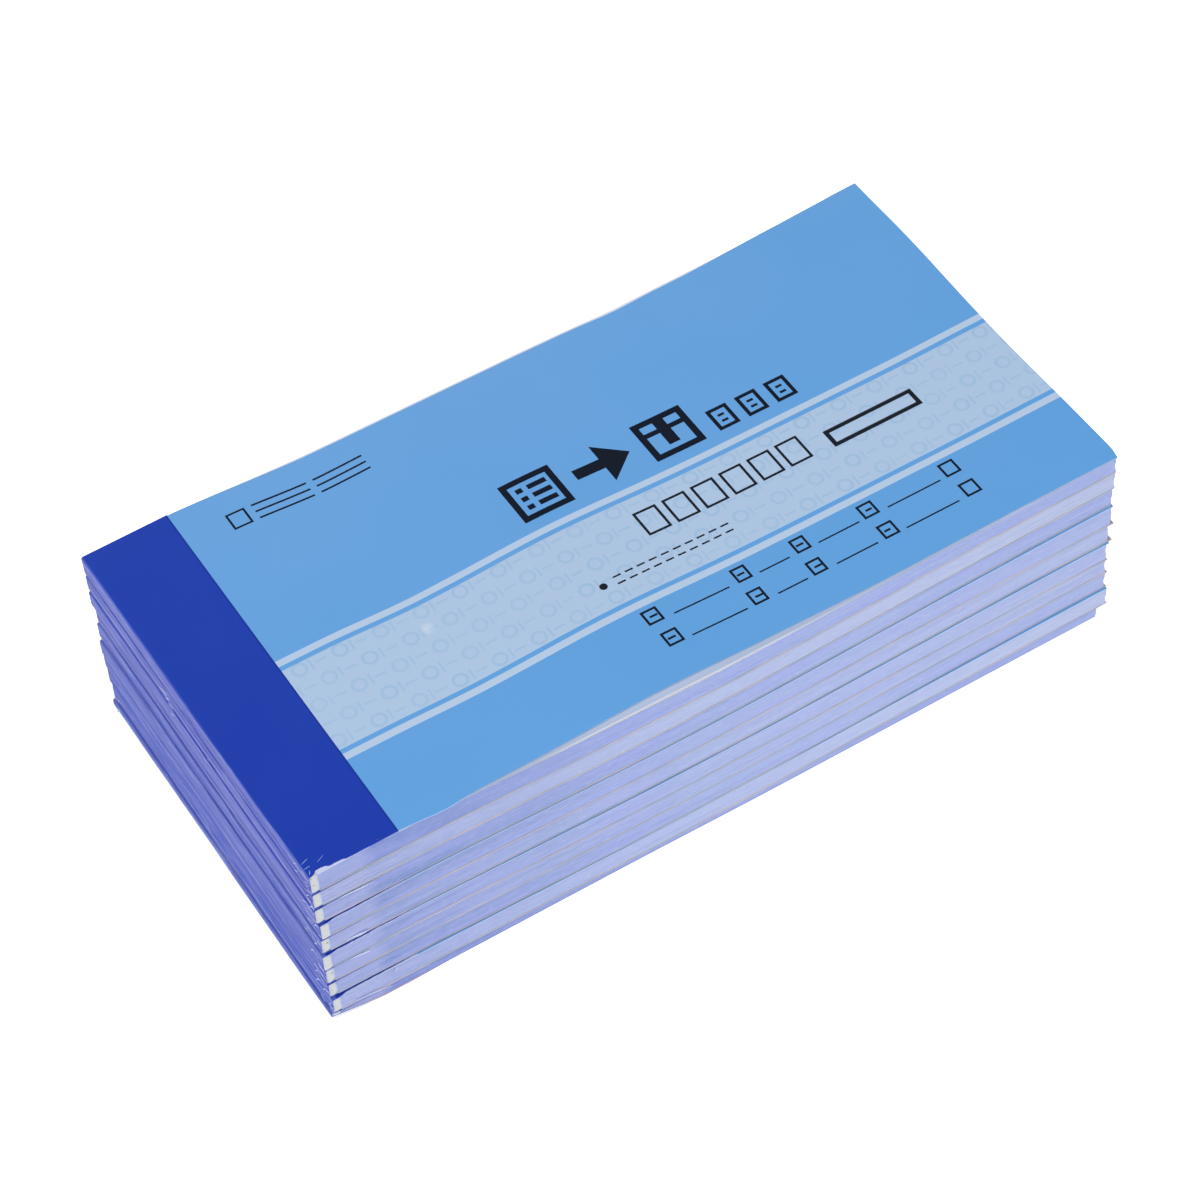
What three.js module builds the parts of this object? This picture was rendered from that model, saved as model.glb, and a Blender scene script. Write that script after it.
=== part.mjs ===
// A pile of glue-bound form pads. Each pad is a block of three-part carbonless leaves on a grey board,
// glued along one short end and dressed in a printed cover whose blue band wraps round that end.
// In a pad's own frame X runs from the spine to the loose end, Y from the front edge (negative) to the
// back edge, and Z up from the plane that the pad lies on. The finished pile stands on Z = 0, with its
// bounding box centred on the Z axis. Sizes are in millimetres.
import * as THREE from "three";

// The pad in plan
const LENGTH = 175; // spine to loose end
const WIDTH = 88; // front edge to back edge
const BAND = 18.2; // blue band on the front, from the spine to the crease where cover and leaves turn
const FLANGE = 8; // what the wrap covers of the back board
const BULGE = 1.2; // how far the cut edges swell out, halfway along the front
const HOLLOW = 1.2; // and how far they are drawn in along the back
const COVER_HOLLOW = 1.6; // the same for the top cover, whose front edge is straight

// The pad in section
const SETS = 20; // sets of forms in a pad
const SET_LEAVES = ["white_leaf", "pink_leaf", "yellow_leaf"]; // one set, from the top
const COVER = 0.18; // printed cover sheet, and the wrap that is part of the same sheet
const BOARD = 0.35; // grey back board
const PINCH = 0.25; // how far the glued end sinks below the plane of the cover
const SPINE_RADIUS = 0.8; // rounding of the wrap over the spine's two long edges
const GLUE = 1; // what the glue reaches behind that rounding
const AIR = 0.02; // clearance between sheets that only lie on each other

// The pile, from the top pad down: how high each pad stands at the crease and at the loose end, and how
// far it lies out of line along X and Y. The lowest pad is a part-used one, cut a little hollow in front.
const PILE = [
  { crease: 5.5, loose: 4.3, shift: [0, 0] },
  { crease: 4.7, loose: 4.7, shift: [0, 0.15] },
  { crease: 4.75, loose: 4.75, shift: [-0.1, 0.2] },
  { crease: 4.8, loose: 5.35, shift: [0.3, -0.25] },
  { crease: 4.65, loose: 5.35, shift: [0, 0.1] },
  { crease: 4.8, loose: 4.9, shift: [-0.35, -0.3] },
  { crease: 4.75, loose: 4.65, shift: [-0.1, 0.1] },
  { crease: 4.55, loose: 4.6, shift: [0, 0.2] },
  { crease: 4.7, loose: 4.7, shift: [0.1, -0.3] },
  { crease: 3.0, loose: 3.0, shift: [-0.3, 0], bulge: -0.8 },
];

const ARC_STEPS = 6; // straight steps in a quarter turn of the spine's rounding
const BOW_STEPS = 12; // straight steps along a bowed long edge

const finish = (color, roughness) => new THREE.MeshStandardMaterial({ color, roughness, metalness: 0 });
const PRINTED_BLUE = finish(0x69a2da, 0.42);
const BAND_BLUE = finish(0x2443af, 0.4);
const LEAF_EDGE = finish(0xa8b4d7, 0.85);
const GREY_BOARD = finish(0xa79d86, 0.9);
const HOT_MELT = finish(0xcdd0c8, 0.45);
const LEAF_COLOURS = [finish(0xf2f3f5, 0.8), finish(0xf3c9d4, 0.8), finish(0xf6eda8, 0.8)];

// Heights in a pad, at a distance x from its spine
const free = LENGTH - BAND; // length of the part that turns
const beforeCrease = (x) => Math.max(0, BAND - x);
const boardBottom = (x) => ((COVER + AIR) * beforeCrease(x)) / (BAND - FLANGE);
const boardTop = (x) => boardBottom(x) + BOARD;

// The leaves of a pad: their top, and what one leaf takes up with the air under it
function leafTop(pad, x, leavesAbove = 0) {
  const rise = ((pad.loose - pad.crease) * Math.max(0, x - BAND)) / free;
  const sink = (PINCH * beforeCrease(x)) / BAND;
  return pad.crease - COVER - 2 * AIR + rise - sink - leavesAbove * leafPitch(pad);
}
const leafPitch = (pad) => (pad.crease - COVER - 2 * AIR - BOARD) / (SETS * SET_LEAVES.length);

const wrapTop = (pad, x) => leafTop(pad, x) + COVER;
const wrapBottom = (x) => boardBottom(x) - COVER;
const slope = (pad) => Math.atan((pad.loose - pad.crease) / free); // of a pad's top against its bottom
const radius = (pad) => Math.min(SPINE_RADIUS, (wrapTop(pad, 0) - wrapBottom(0)) / 2);
const glueEnd = (pad) => radius(pad) + GLUE; // where the leaves and the board begin

// The cut edges in plan: straight near both ends, with one soft swell or hollow between crease and end,
// deepest a little nearer the crease
const swell = (x) => Math.sin(Math.PI * (Math.max(0, x - BAND) / free) ** 0.8) ** 2;
const padOutline = (pad) => ({
  front: (x) => -WIDTH / 2 - (pad.bulge ?? BULGE) * swell(x),
  back: (x) => WIDTH / 2 - HOLLOW * swell(x),
});
const topCoverOutline = {
  front: () => -WIDTH / 2,
  back: (x) => WIDTH / 2 - COVER_HOLLOW * Math.sin((Math.PI * (x - BAND)) / free),
};

function namedMesh(name, geometry, material) {
  const mesh = new THREE.Mesh(geometry, material);
  mesh.name = name;
  return mesh;
}

// A piece of constant section: the points are [x, z], and the piece runs over the pad's whole width.
function sectionPiece(name, points, material) {
  const shape = new THREE.Shape(points.map(([x, z]) => new THREE.Vector2(x, z)));
  const geometry = new THREE.ExtrudeGeometry(shape, { depth: WIDTH, bevelEnabled: false });
  geometry.translate(0, 0, -WIDTH / 2);
  geometry.rotateX(Math.PI / 2);
  return namedMesh(name, geometry, material);
}

// A sheet or block with cut edges: at each x a rectangle from the front edge to the back edge and from
// low(x) to high(x), joined to the next one by four walls and closed by the first and last rectangle.
function cutPiece(name, stations, outline, low, high, material) {
  const corners = stations.flatMap((x) => [
    [x, outline.front(x), low(x)],
    [x, outline.back(x), low(x)],
    [x, outline.back(x), high(x)],
    [x, outline.front(x), high(x)],
  ]);
  const quad = (a, b, c, d) => [a, b, c, a, c, d];
  const last = corners.length - 4;
  const faces = [...quad(3, 2, 1, 0), ...quad(last, last + 1, last + 2, last + 3)];
  for (let at = 0; at < last; at += 4)
    for (let side = 0; side < 4; side++) {
      const next = (side + 1) % 4;
      faces.push(...quad(at + side, at + next, at + next + 4, at + side + 4));
    }
  const geometry = new THREE.BufferGeometry();
  geometry.setAttribute("position", new THREE.Float32BufferAttribute(corners.flat(), 3));
  geometry.setIndex(faces);
  return namedMesh(name, geometry.toNonIndexed(), material);
}

// Where the free part of a pad is cut across: at the crease, at the loose end and evenly between them
const freeStations = Array.from({ length: BOW_STEPS + 1 }, (_, i) => BAND + (free * i) / BOW_STEPS);
const stationsFrom = (start) => [start, ...freeStations];

// The line round the spine, from x = start on the top side to x = end on the bottom side, moved inwards
// by inset: a straight run, a quarter turn, the spine itself, a quarter turn and a straight run.
function spineLine(pad, inset, start, end) {
  const round = radius(pad);
  const quarter = (cz, from) =>
    Array.from({ length: ARC_STEPS + 1 }, (_, i) => {
      const angle = from + ((Math.PI / 2) * i) / ARC_STEPS;
      const r = round - inset;
      return [round + r * Math.cos(angle), cz + r * Math.sin(angle)];
    });
  return [
    [start, wrapTop(pad, start) - inset],
    ...quarter(wrapTop(pad, round) - round, Math.PI / 2),
    ...quarter(wrapBottom(round) + round, Math.PI),
    [end, wrapBottom(end) + inset],
  ];
}

// The cover's blue band: glued down from the crease, round the spine and on to the back board
const spineWrap = (name, pad) =>
  sectionPiece(
    name,
    [...spineLine(pad, 0, BAND, FLANGE), ...spineLine(pad, COVER, BAND, FLANGE).reverse()],
    BAND_BLUE,
  );

// Hot-melt glue, which fills the wrap behind the ends of the leaves and the board
const glueStrip = (name, pad) =>
  sectionPiece(name, spineLine(pad, COVER, glueEnd(pad), glueEnd(pad)), HOT_MELT);

const backBoard = (name, pad) =>
  cutPiece(name, stationsFrom(glueEnd(pad)), padOutline(pad), boardBottom, boardTop, GREY_BOARD);

// The leaves from board to cover. Leaves modelled on their own leave their stubs here, up to the crease.
function leafBlock(name, pad, leavesAbove) {
  const stub = BAND - AIR;
  const stations = leavesAbove ? [glueEnd(pad), stub, ...freeStations] : stationsFrom(glueEnd(pad));
  const top = (x) => leafTop(pad, x, x > stub ? leavesAbove : 0);
  return cutPiece(name, stations, padOutline(pad), boardTop, top, LEAF_EDGE);
}

// One leaf of the top set, from the crease to the loose end
const looseLeaf = (name, pad, leavesAbove, material) =>
  cutPiece(
    name,
    freeStations,
    padOutline(pad),
    (x) => leafTop(pad, x, leavesAbove + 1),
    (x) => leafTop(pad, x, leavesAbove),
    material,
  );

// The free part of the cover, on the leaves. Under the pile it was pressed flush with them, and on the
// top pad it has shrunk to an outline of its own.
const frontCover = (name, pad, outline) =>
  cutPiece(
    name,
    freeStations,
    outline,
    (x) => leafTop(pad, x) + AIR,
    (x) => leafTop(pad, x) + AIR + COVER,
    PRINTED_BLUE,
  );

function makePad(number, pad) {
  const group = new THREE.Group();
  const label = `pad_${String(number).padStart(2, "0")}`;
  const isTop = number === 1;
  const loose = isTop ? SET_LEAVES : [];
  group.add(
    backBoard(`${label}_back_board`, pad),
    leafBlock(`${label}_leaf_block`, pad, loose.length),
    glueStrip(`${label}_glue_strip`, pad),
    spineWrap(`${label}_spine_wrap`, pad),
    frontCover(`${label}_front_cover`, pad, isTop ? topCoverOutline : padOutline(pad)),
    ...loose.map((leaf, i) => looseLeaf(`${label}_${leaf}`, pad, i, LEAF_COLOURS[i])),
  );
  return group;
}

// Each pad lies on the top of the one below it, which may slope, a little out of line.
const pile = new THREE.Group();
let below = pile;
let padBelow = null;
PILE.map((pad, i) => ({ number: i + 1, pad }))
  .reverse()
  .forEach(({ number, pad }) => {
    const group = makePad(number, pad);
    const shiftBelow = padBelow ? padBelow.shift : [0, 0];
    group.position.x = pad.shift[0] - shiftBelow[0];
    group.position.y = pad.shift[1] - shiftBelow[1];
    if (padBelow) {
      const tilt = slope(padBelow);
      group.position.z = padBelow.crease - BAND * Math.tan(tilt);
      group.rotation.y = -tilt;
    }
    below.add(group);
    below = group;
    padBelow = pad;
  });

pile.updateMatrixWorld(true);
const bounds = new THREE.Box3().setFromObject(pile, true);
const middle = bounds.getCenter(new THREE.Vector3());
pile.position.set(-middle.x, -middle.y, -bounds.min.z);

const formPads = new THREE.Group();
formPads.add(pile);
export default formPads;
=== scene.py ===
# %% [markdown]
# A pile of glue-bound form pads, dressed over its CAD frame.
#
# The frame comes first. It holds ten pads, each with a back board, a block of leaves, a glue strip, a
# wrapped spine and a cover, and on the top pad three loose leaves that turn. Every visible piece made
# below takes the place of one of those nodes and rides on the same body, so this file never moves
# anything: it only gives the pieces their cut edges, folds, print and wear.

import math

import bmesh
import bpy
import numpy as np
from mathutils import Matrix, Vector


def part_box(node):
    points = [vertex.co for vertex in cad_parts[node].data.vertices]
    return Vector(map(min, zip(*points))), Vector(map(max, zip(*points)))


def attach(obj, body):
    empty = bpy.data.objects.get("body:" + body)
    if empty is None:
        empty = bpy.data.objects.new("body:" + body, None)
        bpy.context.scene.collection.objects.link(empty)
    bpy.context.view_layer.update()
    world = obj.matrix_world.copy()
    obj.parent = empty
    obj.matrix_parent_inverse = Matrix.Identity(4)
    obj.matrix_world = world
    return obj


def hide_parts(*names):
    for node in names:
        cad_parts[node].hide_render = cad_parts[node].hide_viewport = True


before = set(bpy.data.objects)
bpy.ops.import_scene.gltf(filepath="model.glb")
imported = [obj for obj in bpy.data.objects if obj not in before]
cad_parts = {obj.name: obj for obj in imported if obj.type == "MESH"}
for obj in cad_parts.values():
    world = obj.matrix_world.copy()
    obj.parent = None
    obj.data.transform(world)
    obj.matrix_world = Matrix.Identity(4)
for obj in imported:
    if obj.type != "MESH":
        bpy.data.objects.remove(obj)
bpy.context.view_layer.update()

# %% [markdown]
# The camera is settled before any shape, because every later look is judged through it. It was fitted
# to the corners of the top cover, to its printed stripes and to the lines between the pads. Two unit
# vectors say how it is turned: where it looks and what lies to its right. Blender's camera looks along
# its own -Z, so the third column is the view direction reversed.

# %% Camera
MM = 0.001
FROM_CREASE = (-153.539, -398.72, 525.78)  # millimetres, from the middle of the top pad's crease
LOOK = (0.30883, 0.556717, -0.771162)
RIGHT = (0.848551, -0.527522, -0.041006)
LENS = 111.304  # on a sensor 36 mm wide


def aim_camera():
    """Builds the camera's matrix from its view direction and its right-hand direction."""
    low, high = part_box("pad_01_spine_wrap")
    eye = Vector((high.x, (low.y + high.y) / 2, high.z)) + Vector(FROM_CREASE) * MM
    look = Vector(LOOK).normalized()
    right = Vector(RIGHT)
    right = (right - look * right.dot(look)).normalized()
    up = right.cross(look)
    turn = Matrix((right, up, -look)).transposed().to_4x4()
    data = bpy.data.cameras.new("photo_view")
    data.lens = LENS
    data.sensor_width = 36.0
    data.clip_start = 0.01
    data.clip_end = 50.0
    camera = bpy.data.objects.new("photo_view", data)
    camera.matrix_world = Matrix.Translation(eye) @ turn
    bpy.context.scene.collection.objects.link(camera)
    bpy.context.scene.camera = camera
    return camera


camera = aim_camera()
print("camera at", [round(c, 3) for c in camera.location])

# %% [markdown]
# The pile stood in a bright white studio, with light from all sides and no hard shadow. A white world
# gives that light. One large soft lamp above makes the tops a little brighter than the sides, and a
# second, weaker one from the front lets the leaves' edges read. The floor is a pale matt sheet. It also
# gives off a little light of its own, which keeps it white up to the foot of the pile, as a lit
# photographer's table does. The cover would mirror the wall behind the pile towards the camera, and its
# deep blues would turn milky, so that part of the world is dark, as if a black flag stood there.

# %% Studio
FLAG_INNER = 28.0  # degrees from its middle up to which the flag is fully dark,
FLAG_OUTER = 50.0  # and from which the world is fully white
FLAG_LIGHT = 0.06  # how light the flag is, next to the white


def soft_lamp(name, place, target, size, watts):
    """A square area lamp at place that faces target; both are in metres."""
    data = bpy.data.lights.new(name, "AREA")
    data.shape = "SQUARE"
    data.size = size
    data.energy = watts
    lamp = bpy.data.objects.new(name, data)
    lamp.location = place
    lamp.rotation_euler = (Vector(target) - Vector(place)).to_track_quat("-Z", "Y").to_euler()
    bpy.context.scene.collection.objects.link(lamp)
    return lamp


def white_world(strength, flag_direction):
    """Even white light, but dark round one direction: the world's shader compares each direction with
    the flag's by a dot product and ramps from black to white between two angles."""
    world = bpy.data.worlds.new("white_studio")
    world.use_nodes = True
    tree = world.node_tree
    sky = tree.nodes["Background"]
    sky.inputs["Strength"].default_value = strength
    coordinates = tree.nodes.new("ShaderNodeTexCoord")
    closeness = tree.nodes.new("ShaderNodeVectorMath")
    closeness.operation = "DOT_PRODUCT"
    closeness.inputs[1].default_value = Vector(flag_direction).normalized()
    fade = tree.nodes.new("ShaderNodeMapRange")
    fade.inputs["From Min"].default_value = math.cos(math.radians(FLAG_INNER))
    fade.inputs["From Max"].default_value = math.cos(math.radians(FLAG_OUTER))
    fade.inputs["To Min"].default_value = FLAG_LIGHT
    fade.inputs["To Max"].default_value = 1.0
    tree.links.new(coordinates.outputs["Generated"], closeness.inputs[0])
    tree.links.new(closeness.outputs["Value"], fade.inputs["Value"])
    tree.links.new(fade.outputs["Result"], sky.inputs["Color"])
    bpy.context.scene.world = world


white_world(0.62, (LOOK[0], LOOK[1], -LOOK[2]))
soft_lamp("lamp_above", (-0.2, -0.2, 1.4), (0.0, 0.0, 0.0), 1.2, 13.6)
soft_lamp("lamp_front", (-0.5, -1.4, 0.7), (0.0, 0.0, 0.02), 1.0, 3.0)
view = bpy.context.scene.view_settings
view.view_transform = "Standard"
view.look = "None"
view.exposure = 0.0
view.gamma = 1.0
print("light: a white world and", len(bpy.data.lights), "soft lamps")

# %% [markdown]
# A pile of paper is nearly all flat surfaces, so its finish has to come from the materials. Shader maths
# gets long when every node is placed by hand. A small class lets it be written as plain expressions: it
# wraps an output socket, and each operator adds the Math node that does the sum.


# %% Shader expressions
class Wire:
    """An output socket that can be used in a sum. The result of a sum is again a Wire."""

    def __init__(self, finish, socket):
        self.finish = finish
        self.socket = socket

    def sum(self, operation, *others):
        return self.finish.node("ShaderNodeMath", {"operation": operation}, [self, *others])

    def __add__(self, other):
        return self.sum("ADD", other)

    def __radd__(self, other):
        return self.sum("ADD", other)

    def __sub__(self, other):
        return self.sum("SUBTRACT", other)

    def __rsub__(self, other):
        return self.finish.node("ShaderNodeMath", {"operation": "SUBTRACT"}, [other, self])

    def __mul__(self, other):
        return self.sum("MULTIPLY", other)

    def __rmul__(self, other):
        return self.sum("MULTIPLY", other)

    def __truediv__(self, other):
        return self.sum("DIVIDE", other)

    def above(self, edge, softness=0.0):
        """1 where the value is over edge and 0 below, with an even ramp of the given width between."""
        if softness == 0.0:
            return self.sum("GREATER_THAN", edge)
        return self.ramp(edge - softness / 2, 1.0 / softness)

    def below(self, edge, softness=0.0):
        return 1.0 - self.above(edge, softness)

    def within(self, middle, reach, softness=0.0):
        """1 where the value is no further than reach from the middle."""
        return (self - middle).absolute().below(reach, softness)

    def ramp(self, start, steepness):
        """0 at start, rising evenly to 1 and staying there. A negative steepness makes it rise towards
        smaller values."""
        return self.finish.clamp((self - start) * steepness)

    def line(self, level, sharpness):
        """1 where the value meets the level, fading to 0 on both sides."""
        return self.finish.clamp(1.0 - (self - level).absolute() * sharpness)

    def absolute(self):
        return self.sum("ABSOLUTE")

    def highest(self, other):
        return self.sum("MAXIMUM", other)

    def wrapped(self, step):
        """The rest after taking away whole steps: 0 to step, over and over."""
        return self.finish.node("ShaderNodeMath", {"operation": "FLOORED_MODULO"}, [self, step])


# %% [markdown]
# A finish is one material on a Principled shader. This class adds the nodes that every paper here needs:
# noise, sharp bands, outlined boxes, layers of colour, and the numbers that a mesh carries for its own
# material. Those numbers are read from attributes, so a finish stays the same when a piece moves.


# %% Finishes
class Finish:
    """One material, built on a Principled shader."""

    def __init__(self, name, roughness=0.5):
        self.material = bpy.data.materials.new(name)
        self.material.use_nodes = True
        self.tree = self.material.node_tree
        self.shader = self.tree.nodes["Principled BSDF"]
        self.shader.inputs["Roughness"].default_value = roughness

    def feed(self, socket, value):
        """Links a Wire to an input socket, or sets a plain value on it."""
        if isinstance(value, Wire):
            self.tree.links.new(value.socket, socket)
        elif isinstance(value, tuple) and len(value) == 3 and socket.type == "RGBA":
            socket.default_value = (*value, 1.0)
        else:
            socket.default_value = value

    def node(self, kind, settings, inputs, output=0):
        """Adds a node of the given type. Settings go on the node first, then values or links go on its
        input sockets, by position in a list or by name in a dict."""
        made = self.tree.nodes.new(kind)
        for setting, value in settings.items():
            setattr(made, setting, value)
        pairs = inputs.items() if isinstance(inputs, dict) else enumerate(inputs)
        for key, value in pairs:
            self.feed(made.inputs[key], value)
        return Wire(self, made.outputs[output])

    def clamp(self, value):
        return self.node("ShaderNodeClamp", {}, [value, 0.0, 1.0])

    def mix(self, amount, first, second):
        """Colour between first (amount 0) and second (amount 1)."""
        settings = {"data_type": "RGBA", "blend_type": "MIX"}
        return self.node("ShaderNodeMix", settings, {0: amount, 6: first, 7: second}, output=2)

    def paint(self, colour, *layers):
        """Mixes layers over a colour, one after the other. Each layer is an amount and a colour."""
        for amount, layer in layers:
            colour = self.mix(amount, colour, layer)
        return colour

    def place(self, x, y, z=0.0):
        return self.node("ShaderNodeCombineXYZ", {}, [x, y, z])

    def distance(self, where, point):
        return self.node("ShaderNodeVectorMath", {"operation": "DISTANCE"}, [where, point], output=1)

    def noise(self, where, scale, detail=2.0, roughness=0.5):
        inputs = {"Vector": where, "Scale": scale, "Detail": detail, "Roughness": roughness}
        return self.node("ShaderNodeTexNoise", {}, inputs)

    def paper(self):
        """Distances on the sheet in millimetres: along it, across it, and 1 on its cut edges."""
        read = self.tree.nodes.new("ShaderNodeAttribute")
        read.attribute_name = "paper"
        split = self.tree.nodes.new("ShaderNodeSeparateXYZ")
        self.tree.links.new(read.outputs["Vector"], split.inputs[0])
        return [Wire(self, split.outputs[i]) for i in range(3)]

    def own_tone(self):
        """A number from 0 to 1 that each piece carries, so that no two pads look quite alike."""
        return self.node("ShaderNodeAttribute", {"attribute_name": "tone"}, {}, output=2)

    def bands(self, value, spans):
        """1 where value lies in one of the spans and 0 elsewhere. A Compare node marks one span, by its
        middle and half its length."""
        total = 0.0
        for start, end in spans:
            half = (end - start) / 2
            compare = [value, start + half, half]
            total = self.node("ShaderNodeMath", {"operation": "COMPARE"}, compare) + total
        return total

    def bars(self, along, across, spans_along, spans_across):
        return self.bands(along, spans_along) * self.bands(across, spans_across)

    def boxes(self, along, across, spans, foot, top, stroke):
        """Outlined boxes side by side: the outer boxes less the inner ones, a stroke further in."""
        inner_spans = [(a + stroke, b - stroke) for a, b in spans]
        outer = self.bars(along, across, spans, [(foot, top)])
        return outer - self.bars(along, across, inner_spans, [(foot + stroke, top - stroke)])

    def bump(self, height, distance, strength=1.0):
        inputs = {"Strength": strength, "Distance": distance, "Height": height}
        return self.node("ShaderNodeBump", {}, inputs)

    def use(self, **sockets):
        """Feeds the Principled shader's inputs, named with underscores for spaces."""
        for name, value in sockets.items():
            self.feed(self.shader.inputs[name.replace("_", " ").title()], value)
        print(f"{self.material.name}: {len(self.tree.nodes)} nodes")
        return self.material


def screen_colour(red, green, blue):
    """The linear colour of a colour given in screen values from 0 to 255."""
    share = np.array([red, green, blue]) / 255.0
    linear = np.where(share <= 0.04045, share / 12.92, ((share + 0.055) / 1.055) ** 2.4)
    return tuple(float(c) for c in linear)


# %% [markdown]
# The floor belongs to the studio and not to the object, but it needs a finish, so it had to wait for the
# two classes. One large square is enough: a sweep would bend up behind the pile, where no wall is seen.
# A faint mottle keeps it from looking like a blank page.


# %% Floor
def lay_floor():
    """One flat square far larger than the view, a hair below the pile."""
    half = 3.0  # metres
    level = -0.00005
    corners = [(-half, -half, level), (half, -half, level), (half, half, level), (-half, half, level)]
    mesh = bpy.data.meshes.new("floor")
    mesh.from_pydata(corners, [], [(0, 1, 2, 3)])
    floor = bpy.data.objects.new("floor", mesh)
    bpy.context.scene.collection.objects.link(floor)
    finish = Finish("studio_floor", roughness=0.9)
    finish.shader.inputs["Emission Strength"].default_value = 0.6
    finish.shader.inputs["Emission Color"].default_value = (1.0, 1.0, 1.0, 1.0)
    mottle = finish.noise(finish.node("ShaderNodeTexCoord", {}, {}, output=3), 4.0)
    mesh.materials.append(finish.use(base_color=finish.mix(mottle, (0.85, 0.85, 0.86), (0.88, 0.88, 0.88))))


lay_floor()

# %% [markdown]
# Where each pad lies. The CAD part stacks the pads from the bottom, each on the top of the one below it,
# and a pad that is thicker at one end tips those above it. The same sums are done here, and the boxes of
# the CAD nodes say whether they agree. A pad's own frame has X from the spine to the loose end, Y from
# the front to the back edge and Z up from the plane that it lies on, in millimetres.

# %% Pad sizes and places
LENGTH = 175.0
WIDTH = 88.0
BAND = 18.2  # blue band on the front, from the spine to the crease
FREE = LENGTH - BAND
FLANGE = 8.0  # what the wrap covers of the back board
COVER = 0.18
BOARD = 0.35
PINCH = 0.25
SPINE_RADIUS = 0.5
GLUE = 1.3
AIR = 0.02
LEAVES = 60
# Height at the crease, height at the loose end, shift along X, shift along Y, from the top pad down
PILE = (
    (5.5, 4.3, 0.0, 0.0),
    (4.7, 4.7, 0.0, 0.15),
    (4.75, 4.75, -0.1, 0.2),
    (4.8, 5.35, 0.3, -0.25),
    (4.65, 5.35, 0.0, 0.1),
    (4.8, 4.9, -0.35, -0.3),
    (4.75, 4.65, -0.1, 0.1),
    (4.55, 4.6, 0.0, 0.2),
    (4.7, 4.7, 0.1, -0.3),
    (3.0, 3.0, -0.3, 0.0),
)
# How far leaves, board and cover end short of the full length, from the top pad down
DRAWN_IN = (
    (0.65, 0.6, 0.0),
    (0.5, 0.45, 0.35),
    (0.65, 0.7, 0.5),
    (1.2, 0.6, 0.8),
    (1.0, 0.1, 0.4),
    (0.95, 0.7, 0.35),
    (0.8, 0.2, 0.7),
    (0.65, 0.2, 0.35),
    (0.35, 0.2, 0.2),
    (0.5, 0.5, 0.4),
)
# How far each front edge swells out at mid-length, and how far a pad that would stand out is drawn back
SWELLS = (1.25, 1.25, 1.25, 1.25, 1.08, 1.08, 1.08, 1.08, 0.78, 0.05)
DRAWN_BACK = (0.0, 0.0, 0.0, 0.2, 0.0, 0.12, 0.0, 0.0, 0.04, 0.0)
LOWEST_LEAVES_OUT = 0.25  # how far the lowest pad's leaves stand out past the middle,
LOWEST_BOARD_IN = 0.34  # and how far its board lies behind them
TOP_CORNER = 2.2  # how far the worn corner of the top pad reaches along its edges,
TOP_CORNER_DROP = 0.9  # and how far it is bent down
LOWEST_CORNER = 1.9  # the same for the lowest pad
FOOT_REACH = 10.5  # how far from the spine the lowest pad's underside is bent up,
FOOT_BEND = 0.85  # how far up at the spine,
FOOT_CORNER_BEND = 1.15  # and how much further at the front corner,
FOOT_CORNER_REACH = 24.0  # which fades out over this distance


# %% [markdown]
# A pad knows its own sums: how high its board, leaves and wrap lie at any distance from the spine, and
# how a point of its own frame is moved into the pile. The worn corners are bent last, on the way there.


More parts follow.
